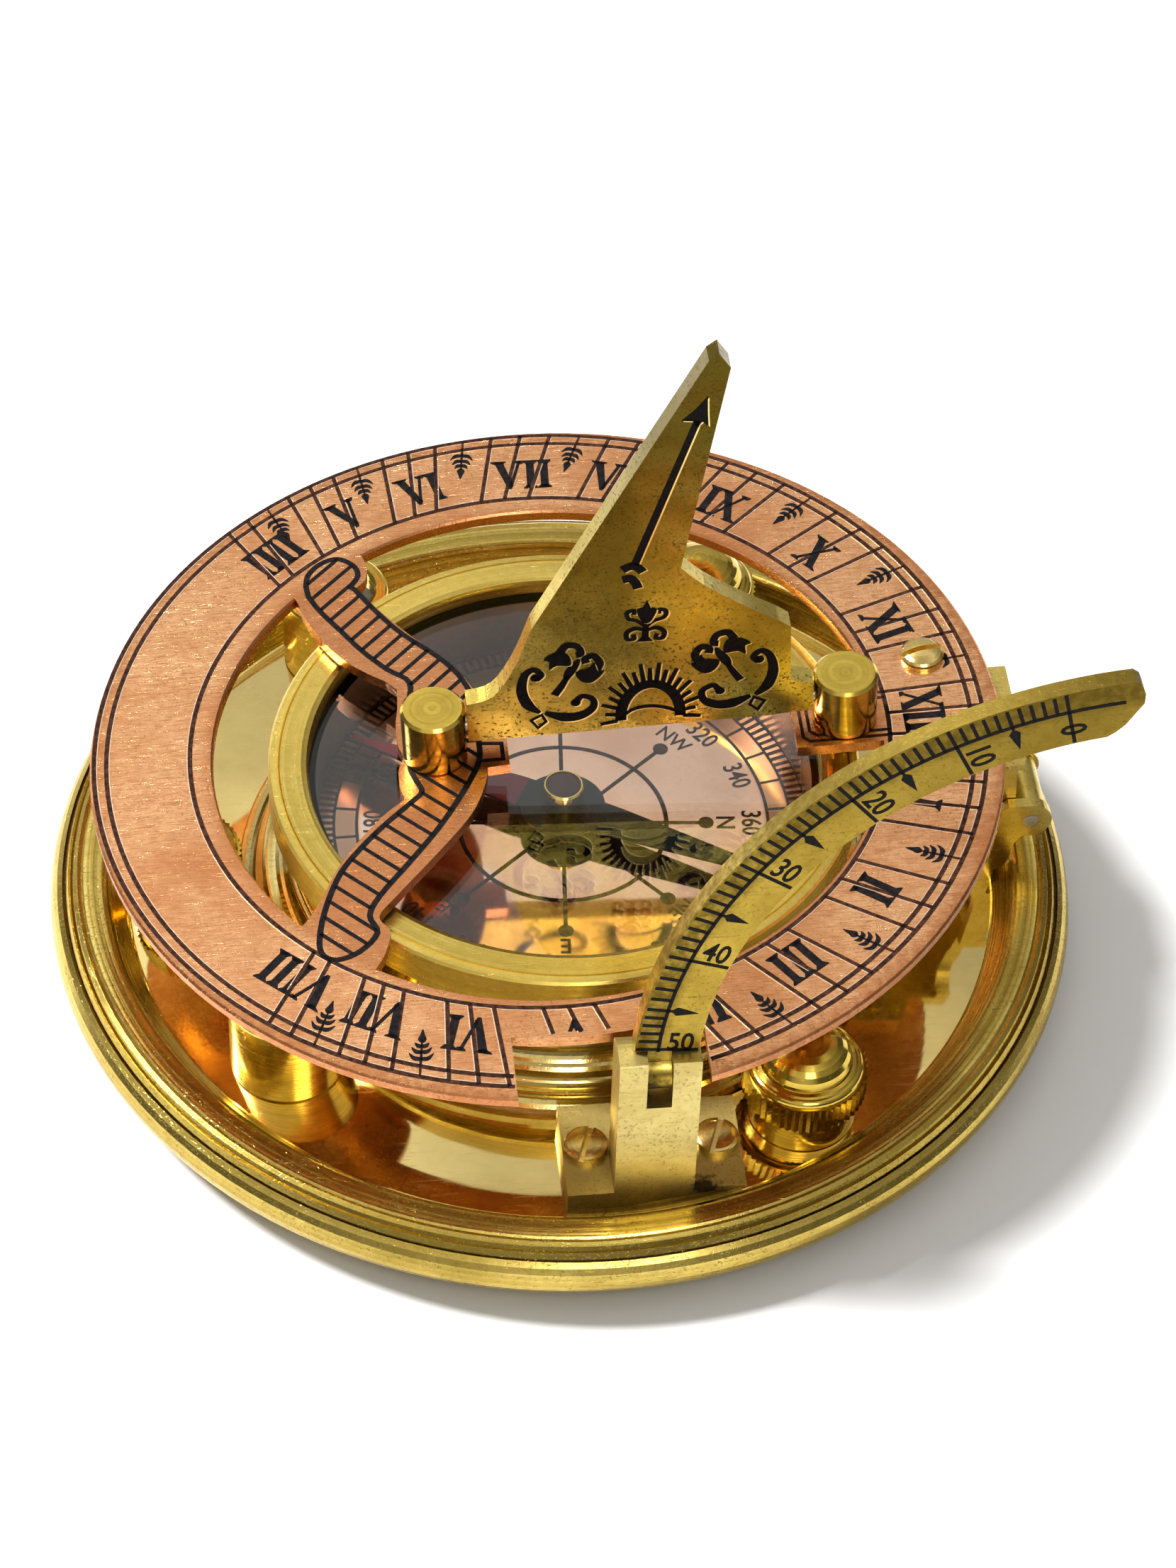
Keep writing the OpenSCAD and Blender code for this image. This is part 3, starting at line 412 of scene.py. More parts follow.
def ink(name, dark, light, rough):
    """The dark filling of an etched line."""
    s = Shader(name, dark, 0.0, rough, Specular_IOR_Level=0.1)
    grain = s.grain(1.4, 4.0, 0.6)
    s.set("Base Color", s.blend(s.map(grain, 0.4, 0.75), dark, light))
    s.set("Roughness", s.map(grain, 0.3, 0.7, rough * 0.8, rough * 1.3))
    s.set("Normal", s.bump(grain, 0.4, 0.03))
    return s.material


def card_metal():
    """Polished copper plate, almost a mirror, with a dark band under the degree scale."""
    s = Shader("card_copper", (0.90, 0.56, 0.40), 1.0, 0.06)
    cloud = s.grain(0.09, 4.0, 0.55)
    grain = s.grain(2.5, 3.0, 0.6)
    tint = s.blend(s.map(cloud, 0.4, 0.65), (0.92, 0.60, 0.44), (0.80, 0.47, 0.33))
    tint = s.blend(s.map(grain, 0.55, 0.8, 0, 0.3), tint, (0.5, 0.26, 0.16))
    x, y, _ = s.split(s.place)
    band = s.map(s.radius(x, y), 24.8 * MM, 25.8 * MM, 0.0, 0.85)
    s.set("Base Color", s.blend(band, tint, (0.36, 0.20, 0.12)))
    s.set("Roughness", s.math("MULTIPLY_ADD", band, 0.12, s.map(cloud, 0.3, 0.7, 0.04, 0.10)))
    s.set("Normal", s.bump(grain, 0.08, 0.01))
    return s.material


def paint(name, colour, coat):
    s = Shader(name, colour, 0.0, 0.35, Coat_Weight=coat, Coat_Roughness=0.15,
               Specular_IOR_Level=0.2)
    grain = s.grain(1.5, 3.0, 0.6)
    s.set("Base Color", s.blend(s.map(grain, 0.35, 0.75), colour, darker(colour, 0.6)))
    s.set("Normal", s.bump(grain, 0.3, 0.02))
    return s.material


def clear_glass():
    s = Shader("clear_glass", (0.96, 0.98, 0.97), 0.0, 0.0, Transmission_Weight=1.0, IOR=1.55)
    smear = s.grain((0.12, 0.3, 0.12), 4.0, 0.6, 0.6)
    s.set("Roughness", s.map(smear, 0.45, 0.8, 0.0, 0.03))
    return s.material


def level_glass():
    s = Shader("level_glass", (0.16, 0.18, 0.09), 0.0, 0.06, Coat_Weight=1.0, Coat_Roughness=0.03)
    cloud = s.map(s.grain(0.3, 3.0, 0.5), 0.35, 0.7)
    s.set("Base Color", s.blend(cloud, (0.10, 0.11, 0.05), (0.30, 0.30, 0.14)))
    return s.material


black = ink("etched_black", (0.006, 0.006, 0.008), (0.022, 0.015, 0.013), 0.42)
brown = ink("etched_brown", (0.022, 0.010, 0.007), (0.080, 0.035, 0.020), 0.40)
card, glass, level = card_metal(), clear_glass(), level_glass()
needle_black = paint("needle_black", (0.010, 0.012, 0.011), 0.1)
needle_red = paint("needle_red", (0.26, 0.008, 0.020), 0.2)
jewel = paint("jewel", (0.045, 0.012, 0.010), 0.1)


def polar(radius, degrees, centre=(0, 0)):
    a = math.radians(degrees)
    return (centre[0] + radius * math.cos(a), centre[1] + radius * math.sin(a))


def dress(material, *names):
    for name in names:
        data = NODES[name].data
        data.materials.clear()
        data.materials.append(material)


dress(turned_brass, "base_dish")
dress(bowl_brass, "compass_case")
dress(bezel_brass, "compass_bezel")
dress(arc_brass, "latitude_arc")
dress(brushed, "hinge_bracket", "hinge_leaf")
dress(matte, "arc_bracket")
dress(worn_and_shaded, "gnomon")
dress(screw_brass, "case_screws", "bracket_screws", "hinge_bracket_screws", "leaf_screws",
      "post_nuts")
dress(copper, "hour_ring")
dress(steel, "needle_pivot", "hinge_pin", "arc_pin", "gnomon_pins")
dress(card, "compass_card")
dress(needle_black, "compass_needle")
dress(jewel, "cap_jewel")
dress(polished, "needle_cap")
dress(seat_metal, "glass_seat_ring")
dress(glass, "compass_glass")
dress(level, "front_level_vial", "rear_level_vial")

for index, angle in enumerate(SCREW_ANGLES, 1):
    dress(lathe_brass(f"knob_brass_{index}", polar(SCREW_CIRCLE_R, angle), 0.5, 0.14, 0.3,
                      (0.74, 0.54, 0.12)),
          f"knob_bush_{index}", f"levelling_stem_{index}", f"levelling_knob_{index}")
for name, at in LEVELS.items():
    dress(lathe_brass(f"{name}_level_brass", at), f"{name}_level_cup", f"{name}_level_cap")
for name, u in POSTS.items():
    at = RING @ Vector((u * MM, 0, POST_TOP * MM)) / MM
    dress(lathe_brass(f"{name}_brass", (at[0], at[1]), 0.55, 0.15, 0.12), name)


# ---------------------------------------------------------------- flat marks
def smooth(points, steps=6, closed=False):
    """Points of a smooth curve through the given ones."""
    n = len(points)
    out = []
    for i in range(n if closed else n - 1):
        p = [points[(i + k) % n] if closed else points[min(max(i + k, 0), n - 1)]
             for k in (-1, 0, 1, 2)]
        for j in range(steps):
            t = j / steps
            out.append(tuple(0.5 * (2 * p[1][c] + (p[2][c] - p[0][c]) * t
                                    + (2 * p[0][c] - 5 * p[1][c] + 4 * p[2][c] - p[3][c]) * t ** 2
                                    + (3 * p[1][c] - p[0][c] - 3 * p[2][c] + p[3][c]) * t ** 3)
                             for c in (0, 1)))
    if not closed:
        out.append(tuple(points[-1]))
    return out


class Marks:
    """Flat marks on a face, drawn in the face's own plane in millimetres."""

    def __init__(self, points=(), faces=()):
        self.points, self.faces = list(points), list(faces)

    def poly(self, points):
        start = len(self.points)
        self.points.extend(points)
        self.faces.append(list(range(start, start + len(points))))

    def path(self, points, width, closed=False):
        """A ribbon along the points; width is one number, or one for each point."""
        n = len(points)
        widths = width if isinstance(width, (list, tuple)) else [width] * n
        start = len(self.points)
        for i, p in enumerate(points):
            a = points[(i - 1) % n] if closed or i else p
            b = points[(i + 1) % n] if closed or i < n - 1 else p
            d1, d2 = Vector(p) - Vector(a), Vector(b) - Vector(p)
            d1 = d1.normalized() if d1.length > 1e-9 else d2.normalized()
            d2 = d2.normalized() if d2.length > 1e-9 else d1
            mid = (d1 + d2).normalized()
            side = Vector((-mid.y, mid.x)) * widths[i] / 2 / max(mid.dot(d1), 0.5)
            self.points.extend(((p[0] + side.x, p[1] + side.y), (p[0] - side.x, p[1] - side.y)))
        for i in range(n if closed else n - 1):
            a, b = start + 2 * i, start + 2 * ((i + 1) % n)
            self.faces.append([a, a + 1, b + 1, b])

    def arc(self, radius, a, b, width, centre=(0, 0), step=2.5):
        n = max(2, int(abs(b - a) / step))
        closed = abs(b - a) >= 360
        count = n if closed else n + 1
        self.path([polar(radius, a + (b - a) * i / n, centre) for i in range(count)],
                  width, closed)

    def disc(self, centre, radius, n=24):
        self.poly([polar(radius, 360 * i / n, centre) for i in range(n)])

    def add(self, other, at=(0, 0), degrees=0, scale=1.0):
        """Adds another set of marks, scaled, turned and moved."""
        a = math.radians(degrees)
        start = len(self.points)
        for x, y in other.points:
            x, y = x * scale, y * scale
            self.points.append((at[0] + x * math.cos(a) - y * math.sin(a),
                                at[1] + x * math.sin(a) + y * math.cos(a)))
        self.faces.extend([[start + i for i in face] for face in other.faces])

    def shifted(self, dx, dy):
        return Marks([(x + dx, y + dy) for x, y in self.points], self.faces)

    def mirrored(self, dx=0.0, dy=0.0):
        """The marks mirrored in x = 0 and then moved."""
        return Marks([(dx - x, y + dy) for x, y in self.points], [f[::-1] for f in self.faces])

    def write(self, words, size, at, degrees, stretch=1.0, bold=0.0):
        """Words centred on a point, from the built-in typeface."""
        curve = bpy.data.curves.new("words", "FONT")
        curve.body, curve.size, curve.resolution_u, curve.offset = words, size, 3, bold
        curve.align_x, curve.align_y = "CENTER", "CENTER"
        holder = bpy.data.objects.new("words", curve)
        mesh = holder.to_mesh()
        made = Marks([(v.co.x * stretch, v.co.y) for v in mesh.vertices],
                     [list(p.vertices) for p in mesh.polygons])
        holder.to_mesh_clear()
        bpy.data.objects.remove(holder)
        bpy.data.curves.remove(curve)
        self.add(made, at, degrees)

    def piece(self, name, matrix, material, body, slot, height=0.04):
        """Makes the marks one thin piece that lies on its face and rides with its body."""
        made = place_mesh(name, [(x * MM, y * MM, height * MM) for x, y in self.points],
                          self.faces, material, matrix)
        thick = made.modifiers.new("thickness", "SOLIDIFY")
        thick.thickness, thick.offset = height * 1.6 * MM, -1
        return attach(made, body)


# ---------------------------------------------------------------- hour ring
FOOT = (-12.8, 0.0)                  # where the hour lines meet
SCALE_AT = (-0.8, 0.7)               # middle of the scale's circles
OUTER_R, MIDDLE_R, INNER_R = 54.0, 52.5, 42.4
NUMERAL_R, LEAF_R = 46.8, 52.0
CIRCLE_W, HOUR_W = 0.55, 0.5
NOTCH = (-8.6, 13.5, 46.3)           # its two sides and its floor, as the arc passes through
NOTCH_EDGE = 0.2                     # no mark comes nearer to it
LAST_LINE = 120.1                    # degrees from noon


def on_hour_line(phi, radius):
    """Where the hour line of angle phi, from the gnomon's foot, meets a circle of the scale."""
    a = math.radians(phi)
    x, y = FOOT[0] - SCALE_AT[0], FOOT[1] - SCALE_AT[1]
    b = x * math.cos(a) + y * math.sin(a)
    t = -b + math.sqrt(b * b - x * x - y * y + radius ** 2)
    return (FOOT[0] + t * math.cos(a), FOOT[1] + t * math.sin(a))


def bearing(p):
    """Direction of a point from the middle of the scale, in degrees."""
    return math.degrees(math.atan2(p[1] - SCALE_AT[1], p[0] - SCALE_AT[0]))


def in_notch(p):
    return (NOTCH[0] - NOTCH_EDGE < p[0] < NOTCH[1] + NOTCH_EDGE
            and p[1] < 0 and math.hypot(*p) > NOTCH[2] - NOTCH_EDGE)


def stem_i(m, x, h):
    m.poly([(x - 0.46, 0), (x + 0.46, 0), (x + 0.46, h), (x - 0.46, h)])
    for y, s in ((0, 1), (h, -1)):
        m.poly([(x - 0.82, y), (x + 0.82, y), (x + 0.82, y + 0.16 * s), (x + 0.46, y + 0.6 * s),
                (x - 0.46, y + 0.6 * s), (x - 0.82, y + 0.16 * s)])


def serif(m, x, y, half, s):
    m.poly([(x - half, y), (x + half, y), (x + half * 0.9, y + 0.18 * s), (x + 0.3, y + 0.5 * s),
            (x - 0.3, y + 0.5 * s), (x - half * 0.9, y + 0.18 * s)])


def letter_v(m, x, h):
    m.poly([(x - 1.75, h), (x - 0.72, h), (x + 0.42, 0.5), (x + 0.1, 0), (x - 0.2, 0)])
    m.poly([(x + 1.05, h), (x + 1.42, h), (x + 0.2, 0), (x - 0.1, 0.4)])
    serif(m, x - 1.25, h, 0.95, -1)
    serif(m, x + 1.25, h, 0.65, -1)


def letter_x(m, x, h):
    m.poly([(x - 1.6, h), (x - 0.6, h), (x + 1.6, 0), (x + 0.6, 0)])
    m.poly([(x + 1.05, h), (x + 1.4, h), (x - 1.05, 0), (x - 1.4, 0)])
    for dx, y, half, s in ((-1.1, h, 0.9, -1), (1.22, h, 0.6, -1), (1.1, 0, 0.9, 1),
                           (-1.22, 0, 0.6, 1)):
        serif(m, x + dx, y, half, s)


LETTERS = {"I": (stem_i, 1.62), "V": (letter_v, 3.3), "X": (letter_x, 3.3)}


def roman(words, height=4.7):
    """A Roman numeral with its middle at the origin and its top towards +y."""
    made = Marks()
    x = -sum(LETTERS[c][1] for c in words) / 2
    for c in words:
        draw, width = LETTERS[c]
        draw(made, x + width / 2, height)
        x += width
    return made.shifted(0, -height / 2)


def fern():
    """A leaf that points down -y, with its foot at the origin."""
    made = Marks()
    made.path([(0, 0.1), (0, -3.4)], [0.34, 0.22])
    made.poly(smooth([(0, -4.95), (0.28, -4.1), (0.5, -3.45), (0.3, -3.05), (0, -2.9),
                      (-0.3, -3.05), (-0.5, -3.45), (-0.28, -4.1)], 3, True))
    for y, reach, lift in ((-0.55, 1.42, 0.85), (-1.55, 1.16, 0.7), (-2.4, 0.82, 0.55)):
        for side in (-1, 1):
            leaflet = [(0, y), (side * reach * 0.55, y - 0.08), (side * reach, y - lift)]
            made.path(smooth(leaflet, 4), [0.42, 0.52, 0.6, 0.62, 0.58, 0.48, 0.34, 0.2, 0.08])
    return made


NUMERALS = {8: "IIII", 7: "V", 6: "VI", 5: "VII", 4: "VIII", 3: "IX", 2: "X", 1: "XI", 0: "XII",
            -1: "I", -2: "II", -3: "III", -4: "IIII", -6: "VI", -7: "VII", -8: "VIII"}
NUMERAL_NUDGE = {8: -3.2, 7: -3.6, 6: -1.5, 5: -2, 4: -1.5, -6: -0.8}   # degrees along the ring


def ring_marks():
    lines, highlights, numbers, leaves = Marks(), Marks(), Marks(), Marks()
    for radius in (OUTER_R, MIDDLE_R):
        first, last = [math.degrees(math.asin((x - SCALE_AT[0]) / radius)) - 90
                       for x in (NOTCH[1] + NOTCH_EDGE, NOTCH[0] - NOTCH_EDGE)]
        lines.arc(radius, first, last + 360, CIRCLE_W, SCALE_AT)
        # a painted highlight runs as a thin pale strip along one side of every line
        highlights.arc(radius - 0.34, first, last + 360, 0.10, SCALE_AT)
    lines.arc(INNER_R, 0, 360, CIRCLE_W, SCALE_AT)
    highlights.arc(INNER_R + 0.34, 0, 360, 0.10, SCALE_AT)
    for hour in range(-8, 9):
        for quarter in (-1, 0, 1):
            phi = 15 * hour + 3.75 * quarter
            if abs(phi) > LAST_LINE:
                continue
            inner, outer = on_hour_line(phi, INNER_R), on_hour_line(phi, OUTER_R)
            if in_notch(outer):
                outer = on_hour_line(phi, NOTCH[2])
            lines.path([inner, outer], HOUR_W)
            side = 0.31 * math.sin(math.radians(phi)), -0.31 * math.cos(math.radians(phi))
            highlights.path([(q[0] + side[0], q[1] + side[1]) for q in (inner, outer)], 0.11)
        half = 15 * hour + 7.5
        if half < 120 and not in_notch(on_hour_line(half, 49)):
            foot, edge = on_hour_line(half, LEAF_R), on_hour_line(half, OUTER_R)
            leaves.add(fern(), foot, half - 90)
            lines.path([foot, edge], 0.3)
    for hour, words in NUMERALS.items():
        a = bearing(on_hour_line(15 * hour, NUMERAL_R)) + NUMERAL_NUDGE.get(hour, 0)
        numbers.add(roman(words), polar(NUMERAL_R, a, SCALE_AT), a - 90, 1.1)
    # of the V in the notch only the point of the letter stands on the ring
    apex = Marks()
    apex.poly([(-0.75, 1.5), (0.05, 1.5), (0.38, 0.5), (0.1, 0), (-0.2, 0)])
    apex.poly([(0.35, 1.5), (0.75, 1.5), (0.2, 0), (-0.1, 0.4)])
    at = on_hour_line(-75, 44.3)
    numbers.add(apex, at, bearing(at) - 90, 1.2)
    numbers.faces = [f for f in numbers.faces if not any(in_notch(numbers.points[i]) for i in f)]
    lines.piece("ring_lines", RING, brown, "hour_ring", "copper")
    highlights.piece("ring_line_highlights", RING, line_highlight, "hour_ring", "copper", 0.03)
    numbers.piece("ring_numerals", RING, black, "hour_ring", "copper", 0.02)
    leaves.piece("ring_leaves", RING, black, "hour_ring", "copper", 0.02)


def inside(p, polygon):
    hit = False
    for i, (x1, y1) in enumerate(polygon):
        x2, y2 = polygon[i - 1]
        if (y1 > p[1]) != (y2 > p[1]) and p[0] < x1 + (p[1] - y1) * (x2 - x1) / (y2 - y1):
            hit = not hit
    return hit


def ladder(m, outline, slope, first, pitch):
    """Rungs at 45 degrees, cut off at the outline: v - slope * u runs from first in steps."""
    for k in range(16):
        c = first + pitch * k
        run = [(u / 8, c + slope * u / 8) for u in range(-280, -56)]
        row = [p for p in run if inside(p, outline)]
        if len(row) > 2:
            m.path([row[0], row[-1]], 0.5)


def wishbone_marks():
    m = Marks()
    upper = smooth([(-27.4, 30.4), (-27.0, 32.4), (-25.4, 34.2), (-23.2, 34.9), (-21.3, 33.5),
                    (-20.8, 31.6), (-21.9, 29.7)], 5)
    upper += smooth([(-21.4, 29.2), (-18.7, 24.5), (-16.0, 20.6), (-12.1, 16.3), (-9.7, 12.7),
                     (-8.4, 9.0), (-8.0, 5.6), (-8.2, 2.6)], 4)
    upper += smooth([(-16.6, 4.0), (-16.3, 8.0), (-15.8, 12.2), (-18.4, 14.8), (-21.2, 18.3),
                     (-23.6, 22.1), (-25.9, 25.8), (-27.2, 28.6)], 4)
    lower = smooth([(-16.6, 1.2), (-15.4, 0.2), (-16.8, -1.8), (-16.2, -4.4), (-15.7, -6.2),
                    (-17.1, -7.8), (-20.4, -10.9), (-23.5, -14.3), (-26.2, -18.0),
                    (-28.1, -22.6), (-29.2, -26.9), (-29.3, -30.2), (-27.6, -31.5),
                    (-24.8, -30.5), (-22.6, -27.9), (-23.3, -25.2), (-21.9, -22.2),
                    (-17.6, -16.8), (-13.7, -11.6), (-10.1, -5.6), (-8.4, -1.8), (-8.2, 1.6)], 4)
    for outline in (upper, lower):
        m.path(outline, 0.7, True)
    ladder(m, upper, 1, 58.0, -3.05)
    ladder(m, lower, -1, -56.5, 3.13)
    m.path([(-8.3, -2.0), (-5.5, -2.0), (-5.5, 0.6), (-8.2, 0.9)], 0.5)
    m.piece("wishbone_lines", RING, black, "hour_ring", "copper")
    # the small tab that carries the head post
    t = Marks()
    for inset in (0.9, 1.8):
        left, right, half = 30.0 + inset, 41.6, 4.5 - inset
        t.path([(right, half), (left + 0.8, half), (left, half - 0.8), (left, -half + 0.8),
                (left + 0.8, -half), (right, -half)], 0.4)
    t.piece("tab_lines", RING, brown, "hour_ring", "copper")


# ---------------------------------------------------------------- latitude arc
def arc_marks():
    inner, outer = 50.2, 57.6
    # the engraver's own spacing: where each fifth degree stands, seen from the arc's middle
    angles = {0: 77.1, 5: 70.6, 10: 64.0, 15: 57.2, 20: 50.6, 25: 43.2, 30: 35.8, 35: 28.2,
              40: 20.2, 45: 11.6, 50: 5.0}
    last, line = 50, 0.42
    m = Marks()

    def at(value):
        low = min(5 * (value // 5), last - 5)
        return angles[low] + (angles[low + 5] - angles[low]) * (value - low) / 5

    def point(radius, value):
        return polar(radius, 180 - at(value), ARC_CENTRE)

    m.arc(ARC_DIVIDER, 180 - 83.5, 180 - 4.6, line, ARC_CENTRE)
    for value in range(last + 1):
        a = 180 - at(value)
        if value % 10 == 0:
            m.path([point(inner + 0.15, value), point(outer - 0.15, value)], line)
            beside = a - {0: 0, last: 1.2}.get(value, 1.85)
            x, y = polar(inner + (2.3 if value else 2.1), beside, ARC_CENTRE)
            m.write(str(value), 4.0, (x, y), beside + 180, 0.78, 0.045)
        else:
            m.path([point(ARC_DIVIDER, value), point(outer - 0.3, value)], line)
        if value % 10 == 5:
            neck, wide, tip = ARC_DIVIDER - 0.6, ARC_DIVIDER - 1.05, ARC_DIVIDER - 3.5
            m.path([point(ARC_DIVIDER, value), point(neck, value)], 0.34)
            m.poly([polar(r, a + side, ARC_CENTRE) for r, side in (
                (neck, 0.25), (wide, 0.68), (wide - 0.9, 0.45), (tip, 0), (wide - 0.9, -0.45),
                (wide, -0.68), (neck, -0.25))])
    m.piece("arc_scale", ARC_FRONT, black, "latitude_arc", "brushed_brass")


# ---------------------------------------------------------------- gnomon ornament
def scroll(m, points, widths):
    """A smooth stroke whose width runs evenly through the given widths."""
    curve = smooth(points, 5)
    n = len(curve) - 1
    spread = []
    for i in range(len(curve)):
        f = i / n * (len(widths) - 1)
        k = min(int(f), len(widths) - 2)
        spread.append(widths[k] + (widths[k + 1] - widths[k]) * (f - k))
    m.path(curve, spread)


def spray():
    """Two flowers on a stem over a crescent-shaped scroll, drawn for the right side of the sun."""
    m = Marks()
    scroll(m, [(20.9, 3.3), (20.1, 4.3), (18.8, 3.6), (18.9, 2.1), (20.4, 1.0), (22.4, 1.0),
               (24.6, 2.0)], [1.0, 0.7, 0.8, 1.0, 1.3, 1.5, 0.5])
    scroll(m, [(25.2, 2.1), (26.6, 3.6), (27.3, 6.0), (26.9, 8.6), (25.8, 9.5), (24.9, 8.6),
               (25.6, 7.9)], [0.5, 1.4, 1.3, 1.0, 0.8, 0.8, 1.1])
    m.disc((20.9, 3.3), 0.6, 16)
    m.disc((25.6, 8.1), 0.6, 16)
    m.path([(25.0, 1.7), (26.3, 0.9), (25.5, -0.5), (24.5, 0.5)], 0.36, True)
    scroll(m, [(23.4, 4.9), (22.6, 6.2), (21.7, 8.0)], [1.0, 0.9, 0.6])
    m.poly(smooth([(22.2, 7.4), (22.1, 8.8), (20.9, 10.4), (20.2, 10.6), (20.5, 9.2),
                   (21.4, 7.7)], 3, True))
    flower = Marks()
    flower.poly(smooth([(-1.1, -1.3), (-1.3, 0.2), (-0.6, 1.2), (0.6, 1.1), (1.8, 0.5),
                        (1.2, 0.0), (1.5, -1.3), (0.5, -0.9)], 3, True))
    m.add(flower, (22.7, 10.9), -10)
    m.add(flower, (19.2, 7.9), 150)
    curl = [1.1, 1.0, 0.9, 0.9, 1.0]
    scroll(m, [(22.6, 12.0), (21.8, 13.1), (20.5, 12.8), (20.1, 11.6), (20.7, 11.4)], curl)
    scroll(m, [(18.3, 8.6), (17.9, 9.8), (18.6, 11.0), (19.6, 10.7), (19.5, 9.9)], curl)
    return m


def sprig():
    """A tulip between four curls."""
    m = Marks()
    m.poly(smooth([(0, 3.5), (0.45, 2.3), (1.2, 2.0), (0.9, 0.9), (0.4, -0.1), (-0.4, -0.1),
                   (-0.9, 0.9), (-1.2, 2.0), (-0.45, 2.3)], 2, True))
    m.path([(0, 0.2), (0, -3.0)], [0.7, 0.9])
    m.poly([(-1.0, -3.3), (1.0, -3.3), (0.5, -2.6), (-0.5, -2.6)])
    for side in (-1, 1):
        scroll(m, [(0, -0.9), (side * 1.0, 0.1), (side * 2.1, 0.6), (side * 2.3, 1.6),
                   (side * 1.5, 1.9), (side * 1.5, 1.2)], [0.4, 0.5, 0.55, 0.6, 0.5, 0.6])
        scroll(m, [(0, -1.5), (side * 1.2, -1.1), (side * 2.2, -1.7), (side * 2.1, -2.8),
                   (side * 1.3, -2.8), (side * 1.4, -2.1)], [0.4, 0.6, 0.65, 0.6, 0.5, 0.6])
    return m


def gnomon_arrow(m):
    """An arrow from the middle of the blade to its tip."""
    tail, head = Vector((10.8, 25.4)), Vector((19.4, 50.9))
    along = (head - tail).normalized()
    across = Vector((-along.y, along.x))
    length = (head - tail).length

    def spot(t, s):
        p = tail + along * t + across * s
        return (p.x, p.y)

    m.path([spot(0, 0), spot(length - 3.6, 0)], [0.95, 0.8])
    m.poly([spot(length - t, s) for t, s in (
        (0, 0), (2.2, 0.75), (4.1, 1.75), (3.9, 0.5), (4.7, -0.2), (3.7, -0.6), (4.2, -1.5),
        (2.2, -0.75))])
    m.path(smooth([(9.4, 24.9), (10.4, 25.4), (11.3, 25.0), (11.8, 24.3)], 3), 1.15)
    m.path(smooth([(9.4, 23.3), (10.3, 23.4), (10.9, 22.7), (11.2, 21.7)], 3), 1.15)


def half_sun(m):
    """A rising sun on the lower edge, with long and short rays in turn."""
    x, y = 12.5, 0.2

    def on_oval(degrees, wide, high):
        a = math.radians(degrees)
        return (x + wide * math.cos(a), y + high * math.sin(a))

    m.path([on_oval(a, 3.6, 5.3) for a in range(-6, 187, 8)], 1.35)
    for k in range(19):
        a = -6 + 192 * k / 18
        reach = 0.9 if k % 2 else 1.0
        m.path([on_oval(a, 4.0, 5.6), on_oval(a, 6.1 * reach, 8.9 * reach)], [0.6, 0.5])
    m.path(smooth([(8.6, -0.3), (10.2, 1.3), (12.4, 1.7), (14.8, 1.0), (17.0, -0.6)], 4), 0.5)


def gnomon_marks():
    m = Marks()
    gnomon_arrow(m)
    half_sun(m)
    m.add(sprig(), (12.1, 16.1), -3)
    right = spray()
    m.add(right)
    m.add(right.mirrored(24.4, 0.1))
    m.piece("gnomon_ornament_front", GNOMON_FRONT, black, "gnomon", "aged_brass", 0.05)
    # painted highlight: a bright strip along one side of every cut, where the graver's burr
    # catches the light
    cut_highlight = m.shifted(0.17, -0.15)
    cut_highlight.piece("gnomon_cut_highlight_front", GNOMON_FRONT, pale_highlight, "gnomon", "aged_brass", 0.03)
    m.mirrored().piece("gnomon_ornament_back", GNOMON_BACK, black, "gnomon", "aged_brass", 0.05)


# ---------------------------------------------------------------- compass card and needle
def card_marks():
    place = shift(0, -0.4, CARD_Z) @ turn(-4.5, "Z")
    outer, ticks, scale, circle = 30.4, 28.2, 25.4, 12.8
    m = Marks()
    for radius, width in ((outer, 0.3), (ticks, 0.35), (scale, 0.4), (circle, 0.55)):
        m.arc(radius, 0, 360, width, step=3)
    for a in range(0, 360, 2):
        m.path([polar(ticks, a), polar(outer - 0.1, a)], 0.48)
    for a in range(5, 360, 10):
        m.path([polar(scale, a), polar(ticks, a)], 0.34)
    for degrees in range(20, 361, 20):
        m.write(str(degrees), 3.5, polar(23.2, -degrees), -degrees - 90, 0.8, 0.03)
    for k, words in enumerate(("N", "NW", "W", "SW", "S", "SE", "E", "NE")):
        a = 45 * k
        m.path([polar(5.4, a), polar(17.4, a)], 0.5)
        m.disc(polar(17.7, a), 0.95)
        m.write(words, 3.3 if len(words) == 1 else 2.9, polar(20.0, a), a - 90, 0.9, 0.03)
    m.disc((0, 0), 1.9)
    m.piece("card_scale", place, brown, "base", "card_copper")


def beaded_wire():
    """The beaded line that runs round the foot of the spacer, above the card."""
    rows, beads = 8, 190
    radius, thick, neck = 30.75, 0.27, 0.72
    rounds = 2 * beads
    points, faces = [], []
    for i in range(rounds):
        a = math.pi * i / beads
        r = thick * (1.0 if i % 2 else neck)
        for j in range(rows):
            b = 2 * math.pi * j / rows
            out = radius + r * math.cos(b)
            points.append((out * math.cos(a) * MM, out * math.sin(a) * MM, r * math.sin(b) * MM))
            k, l = (i + 1) % rounds, (j + 1) % rows
            faces.append([i * rows + j, k * rows + j, k * rows + l, i * rows + l])
    made = place_mesh("beaded_wire", points, faces, bead_brass, shift(0, 0, CARD_Z + 0.3))
    for polygon in made.data.polygons:
        polygon.use_smooth = True
    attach(made, "base")


